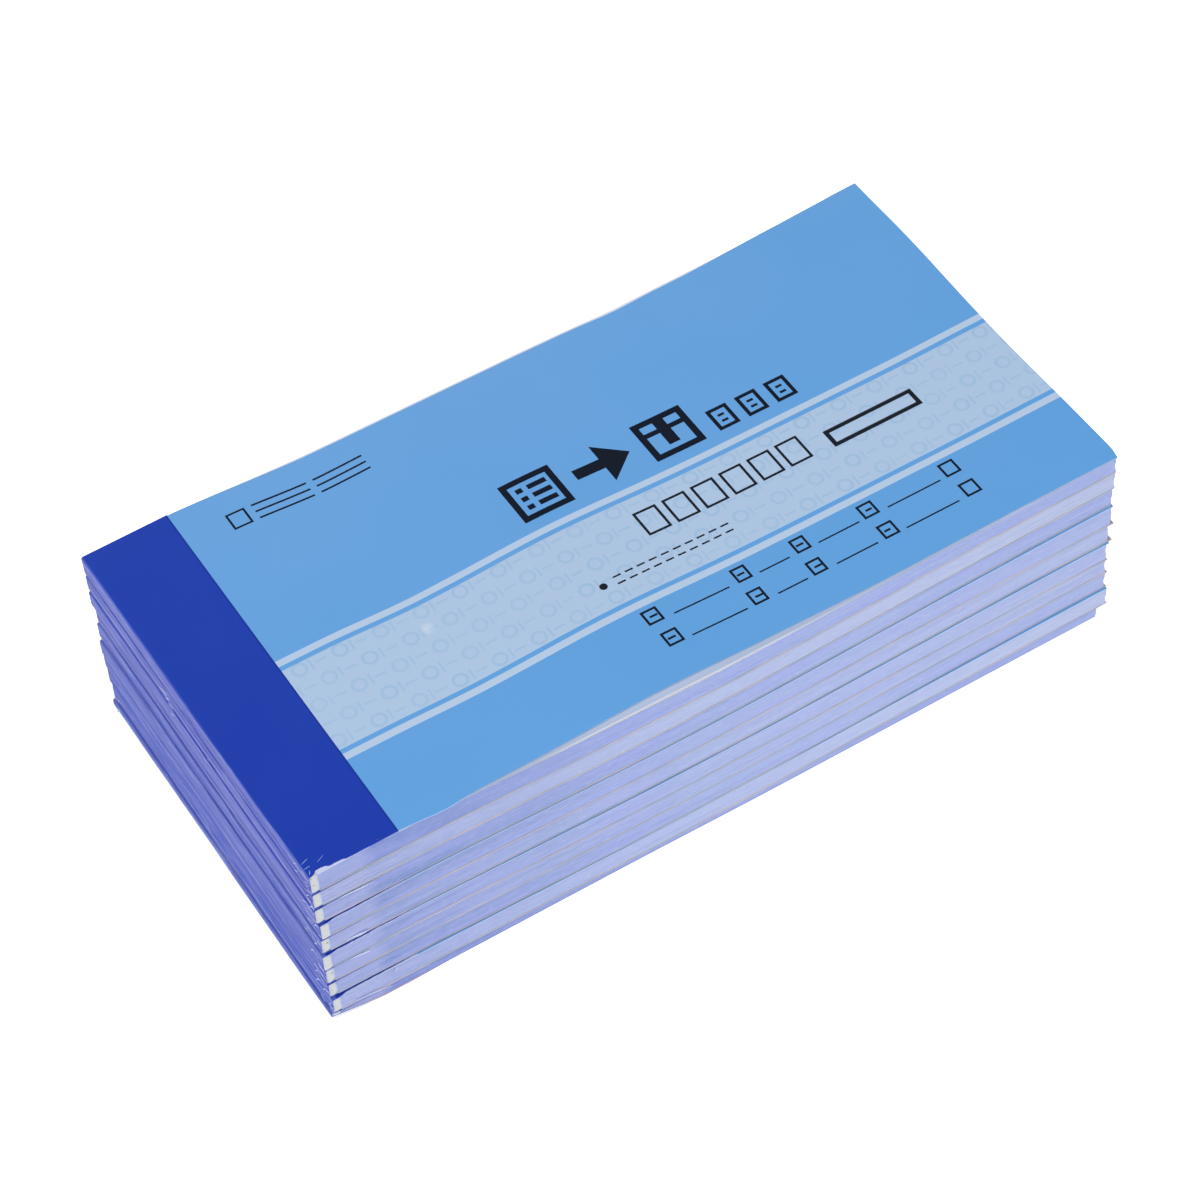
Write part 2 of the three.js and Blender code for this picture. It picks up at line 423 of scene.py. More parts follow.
# %% Pads
class Pad:
    """One pad: its number, its heights, and where its own frame lies in the pile."""

    def __init__(self, number, row, origin, tilt):
        self.number = number
        self.is_top = number == 1
        self.is_lowest = number == len(PILE)
        self.body = f"pad_{number:02d}"
        self.crease, self.loose, self.shift_x, self.shift_y = row
        self.origin = origin
        self.tilt = tilt
        self.slope = math.atan((self.loose - self.crease) / FREE)
        self.leaf = (self.crease - COVER - 2 * AIR - BOARD) / LEAVES
        self.radius = min(SPINE_RADIUS, (self.wrap_top(0.0) - self.wrap_bottom(0.0)) / 2)
        self.glue_end = self.radius + GLUE
        self.leaves_end, self.board_end, self.cover_end = (LENGTH - d for d in DRAWN_IN[number - 1])
        self.swell = SWELLS[number - 1]
        self.drawn_back = DRAWN_BACK[number - 1]

    def before_crease(self, x):
        """Distance from the crease towards the spine, and 0 past the crease."""
        return np.maximum(0.0, BAND - x)

    def board_bottom(self, x):
        """The board lies flat up to the crease and then rises evenly, to clear the flange under it."""
        return (COVER + AIR) * self.before_crease(x) / (BAND - FLANGE)

    def leaf_top(self, x, leaves_above=0):
        """A straight slope from crease to loose end and an even sink from crease to spine, less one leaf
        for each leaf that is modelled above."""
        rise = (self.loose - self.crease) * np.maximum(0.0, x - BAND) / FREE
        sink = PINCH * self.before_crease(x) / BAND
        return self.crease - COVER - 2 * AIR + rise - sink - leaves_above * self.leaf

    def wrap_top(self, x):
        return self.leaf_top(x) + COVER

    def wrap_bottom(self, x):
        return self.board_bottom(x) - COVER

    def worn_corner(self, x, y, z):
        """How far the top pad's front corner at the loose end is bent down: it grows with the square of
        the distance past a slanting line, and with the height in the pad."""
        past = (x - LENGTH + TOP_CORNER) / TOP_CORNER + (-y - WIDTH / 2 + TOP_CORNER) / TOP_CORNER - 1.0
        return TOP_CORNER_DROP * np.clip(past, 0.0, 1.5) ** 2 * np.clip(z / self.crease, 0.0, 1.0) ** 3

    def worn_foot(self, x, y, z):
        """The lowest pad's corner at the loose end is rubbed off slantwise in plan, and its underside is
        bent up near the spine, most at the front corner."""
        past = np.clip(x - LENGTH - y - WIDTH / 2 + LOWEST_CORNER, 0.0, 3.0) / 2
        corner = np.clip(1.0 - (y + WIDTH / 2) / FOOT_CORNER_REACH, 0.0, 1.0)
        bend = FOOT_BEND + FOOT_CORNER_BEND * corner**2
        up = bend * np.clip(1.0 - z / self.crease, 0.0, 1.0) * np.clip(1.0 - x / FOOT_REACH, 0.0, 1.0)
        return x - past, y + past, z + up

    def to_pile(self, x, y, z):
        """Turns the pad's frame by its tilt about Y and moves it to its place, still in millimetres."""
        if self.is_top:
            z = z - self.worn_corner(x, y, z)
        if self.is_lowest:
            x, y, z = self.worn_foot(x, y, z)
        cosine, sine = math.cos(self.tilt), math.sin(self.tilt)
        ox, oy, oz = self.origin
        return np.stack([ox + x * cosine - z * sine, oy + y, oz + x * sine + z * cosine], axis=-1)


def stack_pads():
    """Works up from the lowest pad: each pad's frame starts on the sloping top of the pad below."""
    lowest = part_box("pad_10_spine_wrap")
    start_y = (lowest[0].y + lowest[1].y) / MM / 2
    x, z, tilt = lowest[0].x / MM, 0.0, 0.0
    pads, below = {}, None
    for number in range(len(PILE), 0, -1):
        row = PILE[number - 1]
        if below:
            step_x, step_z = row[2] - below.shift_x, below.crease - BAND * math.tan(below.slope)
            x += step_x * math.cos(tilt) - step_z * math.sin(tilt)
            z += step_x * math.sin(tilt) + step_z * math.cos(tilt)
            tilt += below.slope
        below = Pad(number, row, (x, start_y + row[3] - PILE[-1][3], z), tilt)
        pads[number] = below
    return pads


pads = stack_pads()
for pad in pads.values():
    low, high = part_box(f"{pad.body}_spine_wrap")
    mine = pad.to_pile(0.0, 0.0, pad.wrap_top(0.0))
    print(pad.body, "spine at x", round(float(mine[0]), 3), "in the CAD", round(low.x / MM, 3),
          "| crease top", round(float(pad.to_pile(BAND, 0.0, pad.crease - AIR)[2]), 3),
          "in the CAD", round(high.z / MM, 3))

# %% [markdown]
# Paper is never quite even. Two helpers give that unevenness, always the same on each run: a ripple is a
# sum of waves from a long one to a short one, each with its own direction and start, and grit is a plain
# list of random numbers for things that come one by one, such as leaves.


# %% Unevenness
def ripple(x, y, longest, shortest, seed, waves=7):
    """Sum of cosines of (x cos a + y sin a) with wavelengths from longest to shortest and random
    angles a, long waves counting more, scaled so that it mostly stays between -1 and 1."""
    draw = np.random.default_rng(seed)
    total = 0.0
    weight = 0.0
    for length in np.geomspace(longest, shortest, waves):
        angle, start = draw.uniform(0.0, 2 * math.pi, 2)
        share = length**0.6
        along = x * math.cos(angle) + y * math.sin(angle)
        total = total + share * np.cos(2 * math.pi * along / length + start)
        weight += share * share
    return total / math.sqrt(2.0 * weight)


def grit(count, seed):
    """A list of random numbers from -1 to 1."""
    return np.random.default_rng(seed).uniform(-1.0, 1.0, count)


def bell(x, middle, width):
    """A soft bump: 1 at the middle, falling off as exp(-(distance / width) squared)."""
    return np.exp(-(((x - middle) / width) ** 2))


# %% [markdown]
# Every sheet, block and wrap in the pile is a box that was stretched, bent and cut. So one builder makes
# them all: it takes a function from the unit box to the pad's frame and sends the six sides of the box
# through it as grids. Neighbouring sides share their border points, so merging doubles closes the shape.
# Each corner of a face also keeps where it lies on the sheet, in millimetres, for the print to follow.


# %% Builder for warped boxes
def even(count):
    """The given count of points from 0 to 1, evenly apart."""
    return np.linspace(0.0, 1.0, count)


def grid_faces(rows, columns, start, flip):
    """Quads of a grid of points that are numbered row by row from start."""
    index = np.arange(rows * columns).reshape(rows, columns) + start
    quads = np.stack([index[:-1, :-1], index[1:, :-1], index[1:, 1:], index[:-1, 1:]], axis=-1)
    quads = quads.reshape(-1, 4)
    return quads[:, ::-1] if flip else quads


def warped_box(name, shape, samples, on_sheet, material, tone=0.5):
    """shape(u, v, w) gives points in the pile in millimetres, and on_sheet(u, v, w, side) what the
    material reads there. Samples are the values of u, v and w that the grids use."""
    points, quads, sheet = [], [], []
    count = 0
    for axis in range(3):
        first, second = [samples[k] for k in range(3) if k != axis]
        a, b = np.meshgrid(first, second, indexing="ij")
        for end in (0.0, 1.0):
            uvw = [a, b]
            uvw.insert(axis, np.full_like(a, end))
            points.append(shape(*uvw).reshape(-1, 3))
            sheet.append(on_sheet(*uvw, axis).reshape(-1, 3))
            quads.append(grid_faces(*a.shape, count, flip=(end == 0.0) != (axis == 1)))
            count += a.size
    points = np.concatenate(points) * MM
    quads = np.concatenate(quads)
    sheet = np.concatenate(sheet)
    mesh = bpy.data.meshes.new(name)
    mesh.vertices.add(len(points))
    mesh.vertices.foreach_set("co", points.ravel())
    mesh.loops.add(quads.size)
    mesh.loops.foreach_set("vertex_index", quads.ravel())
    mesh.polygons.add(len(quads))
    mesh.polygons.foreach_set("loop_start", np.arange(0, quads.size, 4))
    mesh.update(calc_edges=True)
    mesh.attributes.new("paper", "FLOAT_VECTOR", "CORNER")
    mesh.attributes["paper"].data.foreach_set("vector", sheet[quads.ravel()].ravel())
    mesh.attributes.new("tone", "FLOAT", "FACE")
    mesh.attributes["tone"].data.foreach_set("value", np.full(len(quads), tone))
    close_mesh(mesh)
    mesh.materials.append(material)
    piece = bpy.data.objects.new(name, mesh)
    bpy.context.scene.collection.objects.link(piece)
    return piece


def close_mesh(mesh):
    """Merges the borders of the sides, turns all faces outwards and keeps sharp edges sharp."""
    work = bmesh.new()
    work.from_mesh(mesh)
    bmesh.ops.remove_doubles(work, verts=work.verts, dist=1e-7)
    bmesh.ops.dissolve_degenerate(work, edges=work.edges, dist=1e-8)
    bmesh.ops.recalc_face_normals(work, faces=work.faces)
    work.to_mesh(mesh)
    work.free()
    mesh.shade_smooth()
    mesh.set_sharp_from_angle(angle=math.radians(35.0))


def flat_sheet(pad_x, pad_y, w, side):
    """What a flat sheet's materials read: millimetres from the spine and from the front edge, and which
    part of the sheet it is: 0 on the printed face, 1 on the cut edges and -1 on the blank face."""
    part = w - 1.0 if side == 2 else np.ones_like(pad_x)
    return np.stack([pad_x, pad_y + WIDTH / 2, part], axis=-1)


def finish_piece(piece, body, node):
    """Ties a piece to its body and hides the CAD node that it stands for."""
    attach(piece, body)
    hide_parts(node)
    return piece


# %% [markdown]
# The cover paper is printed light blue, with a pale band and two thin stripes along it. Towards the back
# the blue is a touch paler, less so near the loose end: a painted sheen. Its print is plain: ruled fields,
# boxes and three simple signs, a ticked list, an arrow and a carton. Nearly all of them are bars and
# outlined boxes, so two tables hold their spans along the sheet and across it, and a Compare node draws
# each span with a sharp edge. The band carries a faint pattern of rings.

# %% Printed cover
LIGHT_BLUE = screen_colour(96, 159, 219)
SHEEN_AND_MOTTLE_BLUE = screen_colour(106, 162, 220)
PALE_BAND = screen_colour(171, 195, 223)
PALE_STRIPE = screen_colour(179, 200, 225)
RING_TINT = screen_colour(152, 184, 218)
GAP_SHADE_BLUE = screen_colour(106, 138, 186)
COVER_INSIDE = screen_colour(206, 212, 226)
INK = screen_colour(9, 11, 24)
SHEET_EDGE = screen_colour(172, 198, 234)
PAPER_WHITE = screen_colour(226, 229, 238)


def spans(first, step, count, length):
    """Spans of one length, one every step."""
    return [(first + step * k, first + step * k + length) for k in range(count)]


# Spans are millimetres from the spine, along the sheet, or from the front edge, across it
STRIPES = [(18.63, 20.19), (43.9, 45.39)]
PALE_SPAN = [(21.25, 42.82)]
UPPER_BOXES = [(79.2, 82.6), (98.5, 101.7), (111.5, 114.7), (126.6, 130.0), (145.2, 148.6)]
LOWER_BOXES = [(79.6, 83.0), (98.1, 101.3), (111.1, 114.3), (127.0, 130.4), (145.6, 149.0)]
BOX_MARKS = [(80.3, 82.0), (99.2, 100.8), (112.2, 113.8), (127.8, 129.2)]
RULES = [(84.6, 96.6), (103.2, 109.8), (116.2, 125.4), (131.8, 143.8)]
BOXES = (  # spans along, foot and top across, stroke
    ([(73.3, 84.3)], 48.0, 58.6, 1.35),  # ticked list
    ([(102.2, 113.2)], 48.0, 58.6, 1.4),  # carton
    (spans(116.4, 6.6, 3, 4.6), 48.2, 54.0, 0.8),  # three slips
    (spans(91.0, 6.3, 6, 5.0), 32.8, 39.2, 0.55),  # comb of boxes
    ([(132.2, 152.4)], 32.4, 37.0, 0.95),  # long box
    (UPPER_BOXES, 14.0, 17.6, 0.5),
    (LOWER_BOXES, 7.8, 11.4, 0.5),
    ([(27.2, 31.2)], 77.4, 81.6, 0.45),  # small box near the spine
)
BARS = (  # spans along, spans across
    ([(75.7, 77.1), (78.2, 82.2)], spans(50.4, 2.3, 3, 1.2)),  # ticks and lines of the list
    ([(87.2, 93.4)], [(52.0, 54.6)]),  # shaft of the arrow
    ([(102.2, 113.2)], [(54.2, 55.4)]),  # lid of the carton
    ([(106.5, 108.9)], [(50.6, 58.6)]),  # tape on the carton
    (spans(118.0, 6.6, 3, 1.4), spans(49.9, 1.6, 2, 0.6)),  # lines on the slips
    (spans(79.8, 2.6, 10, 1.7), spans(25.65, 1.8, 2, 0.4)),  # dotted lines
    (BOX_MARKS, [(9.3, 9.8), (15.5, 16.0)]),
    (RULES, [(7.85, 8.2), (14.05, 14.4)]),
    ([(32.6, 44.0), (45.4, 56.2)], spans(77.5, 1.8, 3, 0.45)),  # and the lines beside it
)
ARROW_TIP = 99.2
ARROW_NECK = 93.2
ARROW_MIDDLE = 53.3
BULLET = (77.2, 26.7, 0.0)
BULLET_RADIUS = 0.8
GLINT_SPOT = (45.3, 37.2, 0.0)


def cover_ink(finish, along, across):
    """1 where the cover has ink: the head of the arrow, the bullet, the boxes and the bars."""
    to_tip = ARROW_TIP - along
    head = ((across - ARROW_MIDDLE).absolute() - to_tip * 0.86).below(0.0)
    ink = head * along.above(ARROW_NECK) * to_tip.above(0.0)
    ink = ink.highest(finish.distance(finish.place(along, across), BULLET).below(BULLET_RADIUS))
    for box in BOXES:
        ink = ink.highest(finish.boxes(along, across, *box))
    for bar in BARS:
        ink = ink.highest(finish.bars(along, across, *bar))
    return ink


def ring_pattern(finish, along, across):
    """Rings and short bars in staggered rows: each place is measured from the middle of its own cell."""
    pitch_along, pitch_across, first_row = 8.4, 4.5, 21.0
    radius, half_stroke, softness = 1.35, 0.24, 0.16
    row = ((across - first_row) / pitch_across).sum("FLOOR")
    cell_x = (along + row * 3.7).wrapped(pitch_along) - pitch_along / 2
    cell_y = (across - first_row).wrapped(pitch_across) - pitch_across / 2

    def bar(middle, half_length, half_height):
        past = ((cell_x - middle).absolute() - half_length).highest(cell_y.absolute() - half_height)
        return past.below(0.0, softness)

    from_middle = finish.distance(finish.place(cell_x + 1.9, cell_y), (0.0, 0.0, 0.0))
    ring = from_middle.within(radius, 0.3, softness)
    return ring.highest(bar(0.5, half_stroke, 1.3)).highest(bar(2.5, 1.2, half_stroke))


# %% [markdown]
# The cover's finish paints these layers over the light blue, from the stripes to the cut edge. The paper
# is coated, so it is fairly smooth, with a little less shine where it is thicker or bare.


# %% Cover paper
def printed_cover():
    finish = Finish("printed_cover", roughness=0.38)
    along, across, part = finish.paper()
    edge, blank = part.above(0.5), part.below(-0.5)
    place = finish.place(along, across)
    cloud = finish.noise(place, 0.035, 3.0)
    grain = finish.noise(place, 2.6, 3.0)
    fibres = finish.noise(finish.place(along, across * 1.6), 3.1, 4.0)
    # painted sheen: to_back makes the cover a touch paler towards the back, less so near the loose end, and
    # the broad cloud mottle mixes in the same paler blue
    to_back = finish.clamp(across / 80.0 - 0.1) * finish.clamp(1.5 - along / 190.0)
    worn_rings = ring_pattern(finish, along, across) * (0.25 + finish.noise(place, 0.11) * 0.9)
    # painted glint: a small white highlight painted on the pale band
    glint = finish.distance(place, GLINT_SPOT).below(1.0, 1.4) * finish.noise(place, 1.1, 3.0)
    under_pile = finish.own_tone().above(0.1)
    # painted shade: on the lower covers the front strip, in the tight gap under the pad above, is painted
    # darker
    gap_shade = across.below(0.9, 0.3) * under_pile * along.below(145.0, 60.0)
    scuff = finish.noise(finish.place(along * 0.5, across * 2.2), 0.9, 4.0).above(0.76, 0.05)
    colour = finish.paint(
        finish.mix(finish.clamp(to_back + (cloud - 0.5) * 0.8), LIGHT_BLUE, SHEEN_AND_MOTTLE_BLUE),
        (finish.bands(across, STRIPES), PALE_STRIPE),
        (finish.bands(across, PALE_SPAN),
         finish.paint(PALE_BAND, (worn_rings * 0.85, RING_TINT), (glint * 0.7, PAPER_WHITE))),
        (gap_shade * 0.75, GAP_SHADE_BLUE),
        (cover_ink(finish, along, across) * (0.985 + (grain - 0.5) * 0.04), INK),
        (scuff * 0.25, PALE_STRIPE),
        (blank, finish.mix(cloud, COVER_INSIDE, PALE_STRIPE)),
        (edge * (0.72 + (grain - 0.5) * 0.5), SHEET_EDGE),
    )
    finish.shader.inputs["Specular IOR Level"].default_value = 0.35
    return finish.use(
        base_color=colour,
        roughness=0.36 + (cloud - 0.5) * 0.08 + edge.highest(blank) * 0.4 + (fibres - 0.5) * 0.08,
        normal=finish.bump(fibres * 0.7 + cloud, 0.00002, 0.5),
    )


printed_cover_finish = printed_cover()

# %% [markdown]
# The blue band is the same coated paper, printed solid. It folds over the spine's two long edges and is
# nicked at the corners. On the spine it is a lighter violet: the royal with a painted sheen, the white
# studio that the paper mirrors there put into the base colour. A picture could be laid over it, but it
# would repeat on ten pads. Noise drawn out across the spine gives streaks and fine creases instead, the
# creases painted as darker and paler lines for their shade and highlight, and each pad's own tone goes in
# as a third coordinate, so that no two spines are alike.

# %% Blue band
ROYAL = screen_colour(22, 56, 166)
ROYAL_LIGHT = screen_colour(45, 76, 176)
ROYAL_DEEP = screen_colour(22, 44, 142)
# The spine's violet and grey are the royal paper with a painted sheen: the white studio that the spine
# mirrors is put into the base colour.
SPINE_SHEEN_VIOLET = screen_colour(49, 70, 181)
SPINE_SHEEN_GREY = screen_colour(63, 90, 189)
SPINE_CREASE = screen_colour(36, 50, 170)
SPINE_PALE = screen_colour(148, 160, 208)
SPINE_DEEP = screen_colour(20, 32, 152)
SPINE_SHINE = screen_colour(106, 124, 202)
BARE_PAPER = screen_colour(206, 211, 234)
ARRIS = BAND - SPINE_RADIUS  # where the wrap starts to round the spine, measured along it
TONE_STEP = 1 / 11  # a wrap's own tone is its pad's number times this
PAINTED_GAP_LINES = (  # painted shade and painted highlight at the grooves between pads: pads that have one, distance past the arris, half its width, strength and colour
    ((5, 6, 10), 0.2, 0.6, 0.2, SPINE_PALE),
    ((4, 7), 1.4, 0.35, 0.75, SPINE_DEEP),
    ((3, 6), 3.7, 0.3, 0.2, SPINE_PALE),
)


def blue_band():
    finish = Finish("blue_band", roughness=0.36)
    along, across, edge = finish.paper()
    tone = finish.own_tone()
    place = finish.place(along, across)
    cloud = finish.noise(place, 0.05, 3.0)
    grain = finish.noise(place, 2.9, 4.0)

    def drawn_out(per_height, slant, per_width, seed, detail, roughness=0.5):
        """Noise that changes fast up the spine and slowly across the pad, other on every pad."""
        where = finish.place(along * per_height + across * slant, across * per_width, tone * seed)
        return finish.noise(where, 1.0, detail, roughness)

    broad = drawn_out(1.1, 0.012, 0.028, 31.0, 2.0)
    streaks = drawn_out(5.4, 0.03, 0.06, 17.0, 4.0, 0.7)
    folds = drawn_out(2.8, 0.015, 0.03, 23.0, 3.0, 0.6)
    upper = tone.ramp(0.62, -4.5) * finish.clamp(1.2 - across / 130.0)
    # The spine's colour: the royal with a painted sheen, with shine and darker streaks, darker on the upper
    # pads towards the front, and fine creases painted as paler and darker lines, their highlight and shade.
    spine = finish.paint(
        finish.mix(broad.ramp(0.32, 2.6), SPINE_SHEEN_VIOLET, SPINE_SHEEN_GREY),
        (streaks.ramp(0.58, 6.0) * 0.5, SPINE_SHINE),
        (streaks.ramp(0.43, -8.0) * 0.6, SPINE_CREASE),
        (upper * 0.4, SPINE_CREASE),
        (folds.line(0.555, 38.0) * 0.75, SPINE_PALE),
        (folds.line(0.46, 24.0) * 0.95, SPINE_DEEP),
    )
    # Painted shadow on pads that lie under an overhang (deep), and paler paint on the shaded grooves and
    # under the overhanging pads (pale): painted highlight.
    for numbers, past_arris, reach, strength, tint in PAINTED_GAP_LINES:
        on_pads = sum((tone.within(number * TONE_STEP, 0.03) for number in numbers), 0.0)
        painted_gap_line = on_pads * along.within(ARRIS + past_arris, reach, 0.4)
        spine = finish.mix(painted_gap_line * strength, spine, tint)
    sheen_reach = along + tone.above(0.15) * 0.9  # under the pile the painted sheen reaches round onto the top
    on_spine = sheen_reach.above(ARRIS + 0.35, 0.35) * along.below(30.0)
    near_front = across.below(2.4, 3.6)
    near_back = across.above(WIDTH - 1.6, 2.4)
    fold = along.within(ARRIS + 0.6, 1.4, 1.6)
    flecks = finish.noise(finish.place(along * 1.6, across * 0.9 + along * 0.5), 1.3, 5.0, 0.66)
    worn = (flecks + near_front * 0.11 + near_back * 0.06 + fold * 0.03).above(0.8, 0.05)
    worn = worn * finish.clamp(fold + on_spine * near_front + near_front * 0.5)
    colour = finish.paint(
        finish.mix(finish.clamp(cloud * 0.2 - 0.06 + across / 250.0), ROYAL, ROYAL_LIGHT),
        (along.below(0.32, 0.2) * 0.7, ROYAL_DEEP),  # the crease
        (on_spine, spine),
        (worn * 0.8, BARE_PAPER),
        (edge * 0.3, SPINE_SHINE),
    )
    finish.shader.inputs["Specular IOR Level"].default_value = 0.3
    return finish.use(
        base_color=colour,
        roughness=0.36 + (cloud - 0.5) * 0.08 + worn * 0.35 + on_spine * 0.1,
        normal=finish.bump(grain * 0.5 + streaks * on_spine * 1.2, 0.00004, 0.6),
    )


blue_band_finish = blue_band()

# %% [markdown]
# The cut edges of sixty thin leaves look like one lavender wall with fine lines in it. The colours of a
# set alternate, and the guillotine pulls some leaves out a little more than others. Sixty separate sheets
# in ten pads would be far too heavy, so the lines are noise that is stretched a hundred times along the
# leaves: it changes from leaf to leaf and hardly along one. Each pad also has a tone of its own.

# %% Cut leaves
EDGE_NEAR = screen_colour(105, 123, 184)
EDGE_FAR = screen_colour(144, 159, 207)
EDGE_VIOLET = screen_colour(144, 151, 215)
EDGE_GREY = screen_colour(177, 186, 211)
EDGE_LINE = screen_colour(196, 204, 224)
EDGE_BY_SPINE = screen_colour(160, 167, 210)
EDGE_SHADE = screen_colour(112, 126, 188)
EDGE_BRIGHT = screen_colour(208, 214, 228)
TOP_LEAF = screen_colour(194, 203, 229)


def cut_leaves():
    finish = Finish("cut_leaves", roughness=0.82)
    along, height, edge = finish.paper()
    tone = finish.own_tone()
    level = height + tone * 37.0
    lines = finish.noise(finish.place(along * 0.02, level * 2.3), 1.0, 4.0, 0.75)
    dashes = finish.noise(finish.place(along * 0.45, level * 3.0), 1.0, 4.0, 0.75)
    bright = finish.noise(finish.place(along * 0.012, level * 1.7, 11.0), 1.0, 4.0, 0.8)
    patches = finish.noise(finish.place(along * 0.055, level * 0.35, 3.0), 1.0, 2.0)
    small_patches = finish.noise(finish.place(along * 0.2, level * 0.9, 7.0), 1.0, 3.0)
    loose_end = finish.clamp(along / LENGTH)
    grey = tone * (0.6 + loose_end * 0.55) + (small_patches - 0.5) * 0.35
    colour = finish.paint(
        finish.mix(along.ramp(10.0, 1 / 70), EDGE_NEAR, EDGE_FAR),
        (patches.ramp(0.42, 2.0), EDGE_VIOLET),
        (finish.clamp(grey), EDGE_GREY),
        # lighter near the spine
        (along.below(11.5, 3.0) * 0.5, EDGE_BY_SPINE),
        (lines.ramp(0.52, 3.0) * 0.4, EDGE_LINE),
        (lines.ramp(0.46, -3.0) * 0.4, EDGE_SHADE),
        (dashes.ramp(0.54, 4.5) * 0.5, EDGE_LINE),
        (dashes.ramp(0.45, -4.5) * 0.4, EDGE_SHADE),
        (bright.above(0.63, 0.05) * loose_end * 0.5, EDGE_BRIGHT),
        (1.0 - edge, TOP_LEAF),
    )
    return finish.use(base_color=colour, normal=finish.bump(lines + dashes * 0.5, 0.00003, 0.35))


cut_leaves_finish = cut_leaves()

# %% [markdown]
# Chipboard is pressed from waste paper: grey-brown, matt, with darker and lighter specks. Its edge is
# seen as a thin brown line under every pad, warmer in some places and greener in others. Two noises are
# enough for that, a long one for the tint and a fine one for the specks, which also lift the surface.

# %% Chipboard
BOARD_WARM = screen_colour(182, 172, 170)
BOARD_OLIVE = screen_colour(148, 157, 166)
BOARD_SPECK = screen_colour(96, 92, 88)
BOARD_STRAW = screen_colour(196, 188, 170)


def chipboard():
    finish = Finish("chipboard", roughness=0.9)
    along, across, edge = finish.paper()
    tone = finish.own_tone()
    stretch = finish.noise(finish.place(along * 0.05, tone * 19.0), 1.0, 3.0)
    specks = finish.noise(finish.place(along, across), 1.9, 4.0, 0.7)
    colour = finish.paint(
        finish.mix(stretch.ramp(0.38, 4.0), BOARD_WARM, BOARD_OLIVE),
        (specks.ramp(0.58, 4.0) * 0.7, BOARD_SPECK),
        (specks.ramp(0.4, -4.0) * (0.5 - edge * 0.3), BOARD_STRAW),
    )
    return finish.use(base_color=colour, normal=finish.bump(specks, 0.00008, 0.6))


chipboard_finish = chipboard()

# %% [markdown]
# Hot-melt glue sets to a waxy cream mass. Cut through at the pad's end it shows small air pits and a
# greyer rim where it soaked into the ends of the leaves. A Voronoi texture gives the pits, because the
# distance to its points makes round spots, and ordinary noise would only make clouds.

# %% Glue
GLUE_CREAM = screen_colour(186, 189, 190)
GLUE_CLOUD = screen_colour(173, 178, 183)
GLUE_GREY = screen_colour(160, 174, 208)
GLUE_PIT = screen_colour(134, 124, 112)


def set_glue():
    finish = Finish("set_glue", roughness=0.42)
    along, height, edge = finish.paper()
    tone = finish.own_tone()
    spot = finish.place(along, height, tone * 23.0)
    cloud = finish.noise(spot, 0.8, 3.0)
    cells = finish.node("ShaderNodeTexVoronoi", {"feature": "F1"}, {"Vector": spot, "Scale": 0.62})
    pit = cells.below(0.13, 0.1)
    colour = finish.paint(
        GLUE_CREAM,
        (cloud.ramp(0.42, 2.0) * 0.5, GLUE_CLOUD),
        (along.above(1.55, 0.5) * 0.8, GLUE_GREY),
        (pit * 0.7, GLUE_PIT),
    )
    return finish.use(base_color=colour, normal=finish.bump(cloud * 0.6 - pit, 0.00012, 0.7))


set_glue_finish = set_glue()

# %% [markdown]
# The three loose leaves are form paper, printed with an empty table in grey: a frame, rows and columns,
# and a line of perforation next to the crease. White, pink and yellow say which copy a leaf is. The same
# bars as on the cover draw the table, and one function makes all three leaves from a row of their looks.


# %% Form leaves
MARGIN_SHADE = screen_colour(158, 172, 199)  # painted shade: the leaf's front margin is greyed and tinted blue where the lifted cover shades it
LEAF_CLOUD = screen_colour(206, 210, 228)
HOLE_GREY = screen_colour(150, 150, 158)
HAIR = 0.2  # width of the table's lines
COLUMNS = (34.0, 62.0, 98.0, 118.0, 138.0, 166.0)  # and their places
HOLE_PITCH = 1.6
FORM_BARS = (
    ([(78.0, 122.0)], [(75.4, 75.9), (74.2, 74.4)]),  # under the heading
    ([(34.0, 60.0), (72.0, 98.0), (140.0, 166.0)], [(68.6, 68.75)]),  # fields over the table
    (spans(34.0, 36.0, 4, 24.0), [(7.0, 7.15)]),  # fields under the table
)
FORMS = {  # paper colour, colour of the print, how strong the painted shade on the front margin is
    "white_leaf": (screen_colour(216, 221, 232), screen_colour(96, 102, 128), 0.92),
    "pink_leaf": (screen_colour(243, 201, 214), screen_colour(120, 92, 108), 0.3),
    "yellow_leaf": (screen_colour(246, 237, 170), screen_colour(118, 108, 84), 0.3),
}


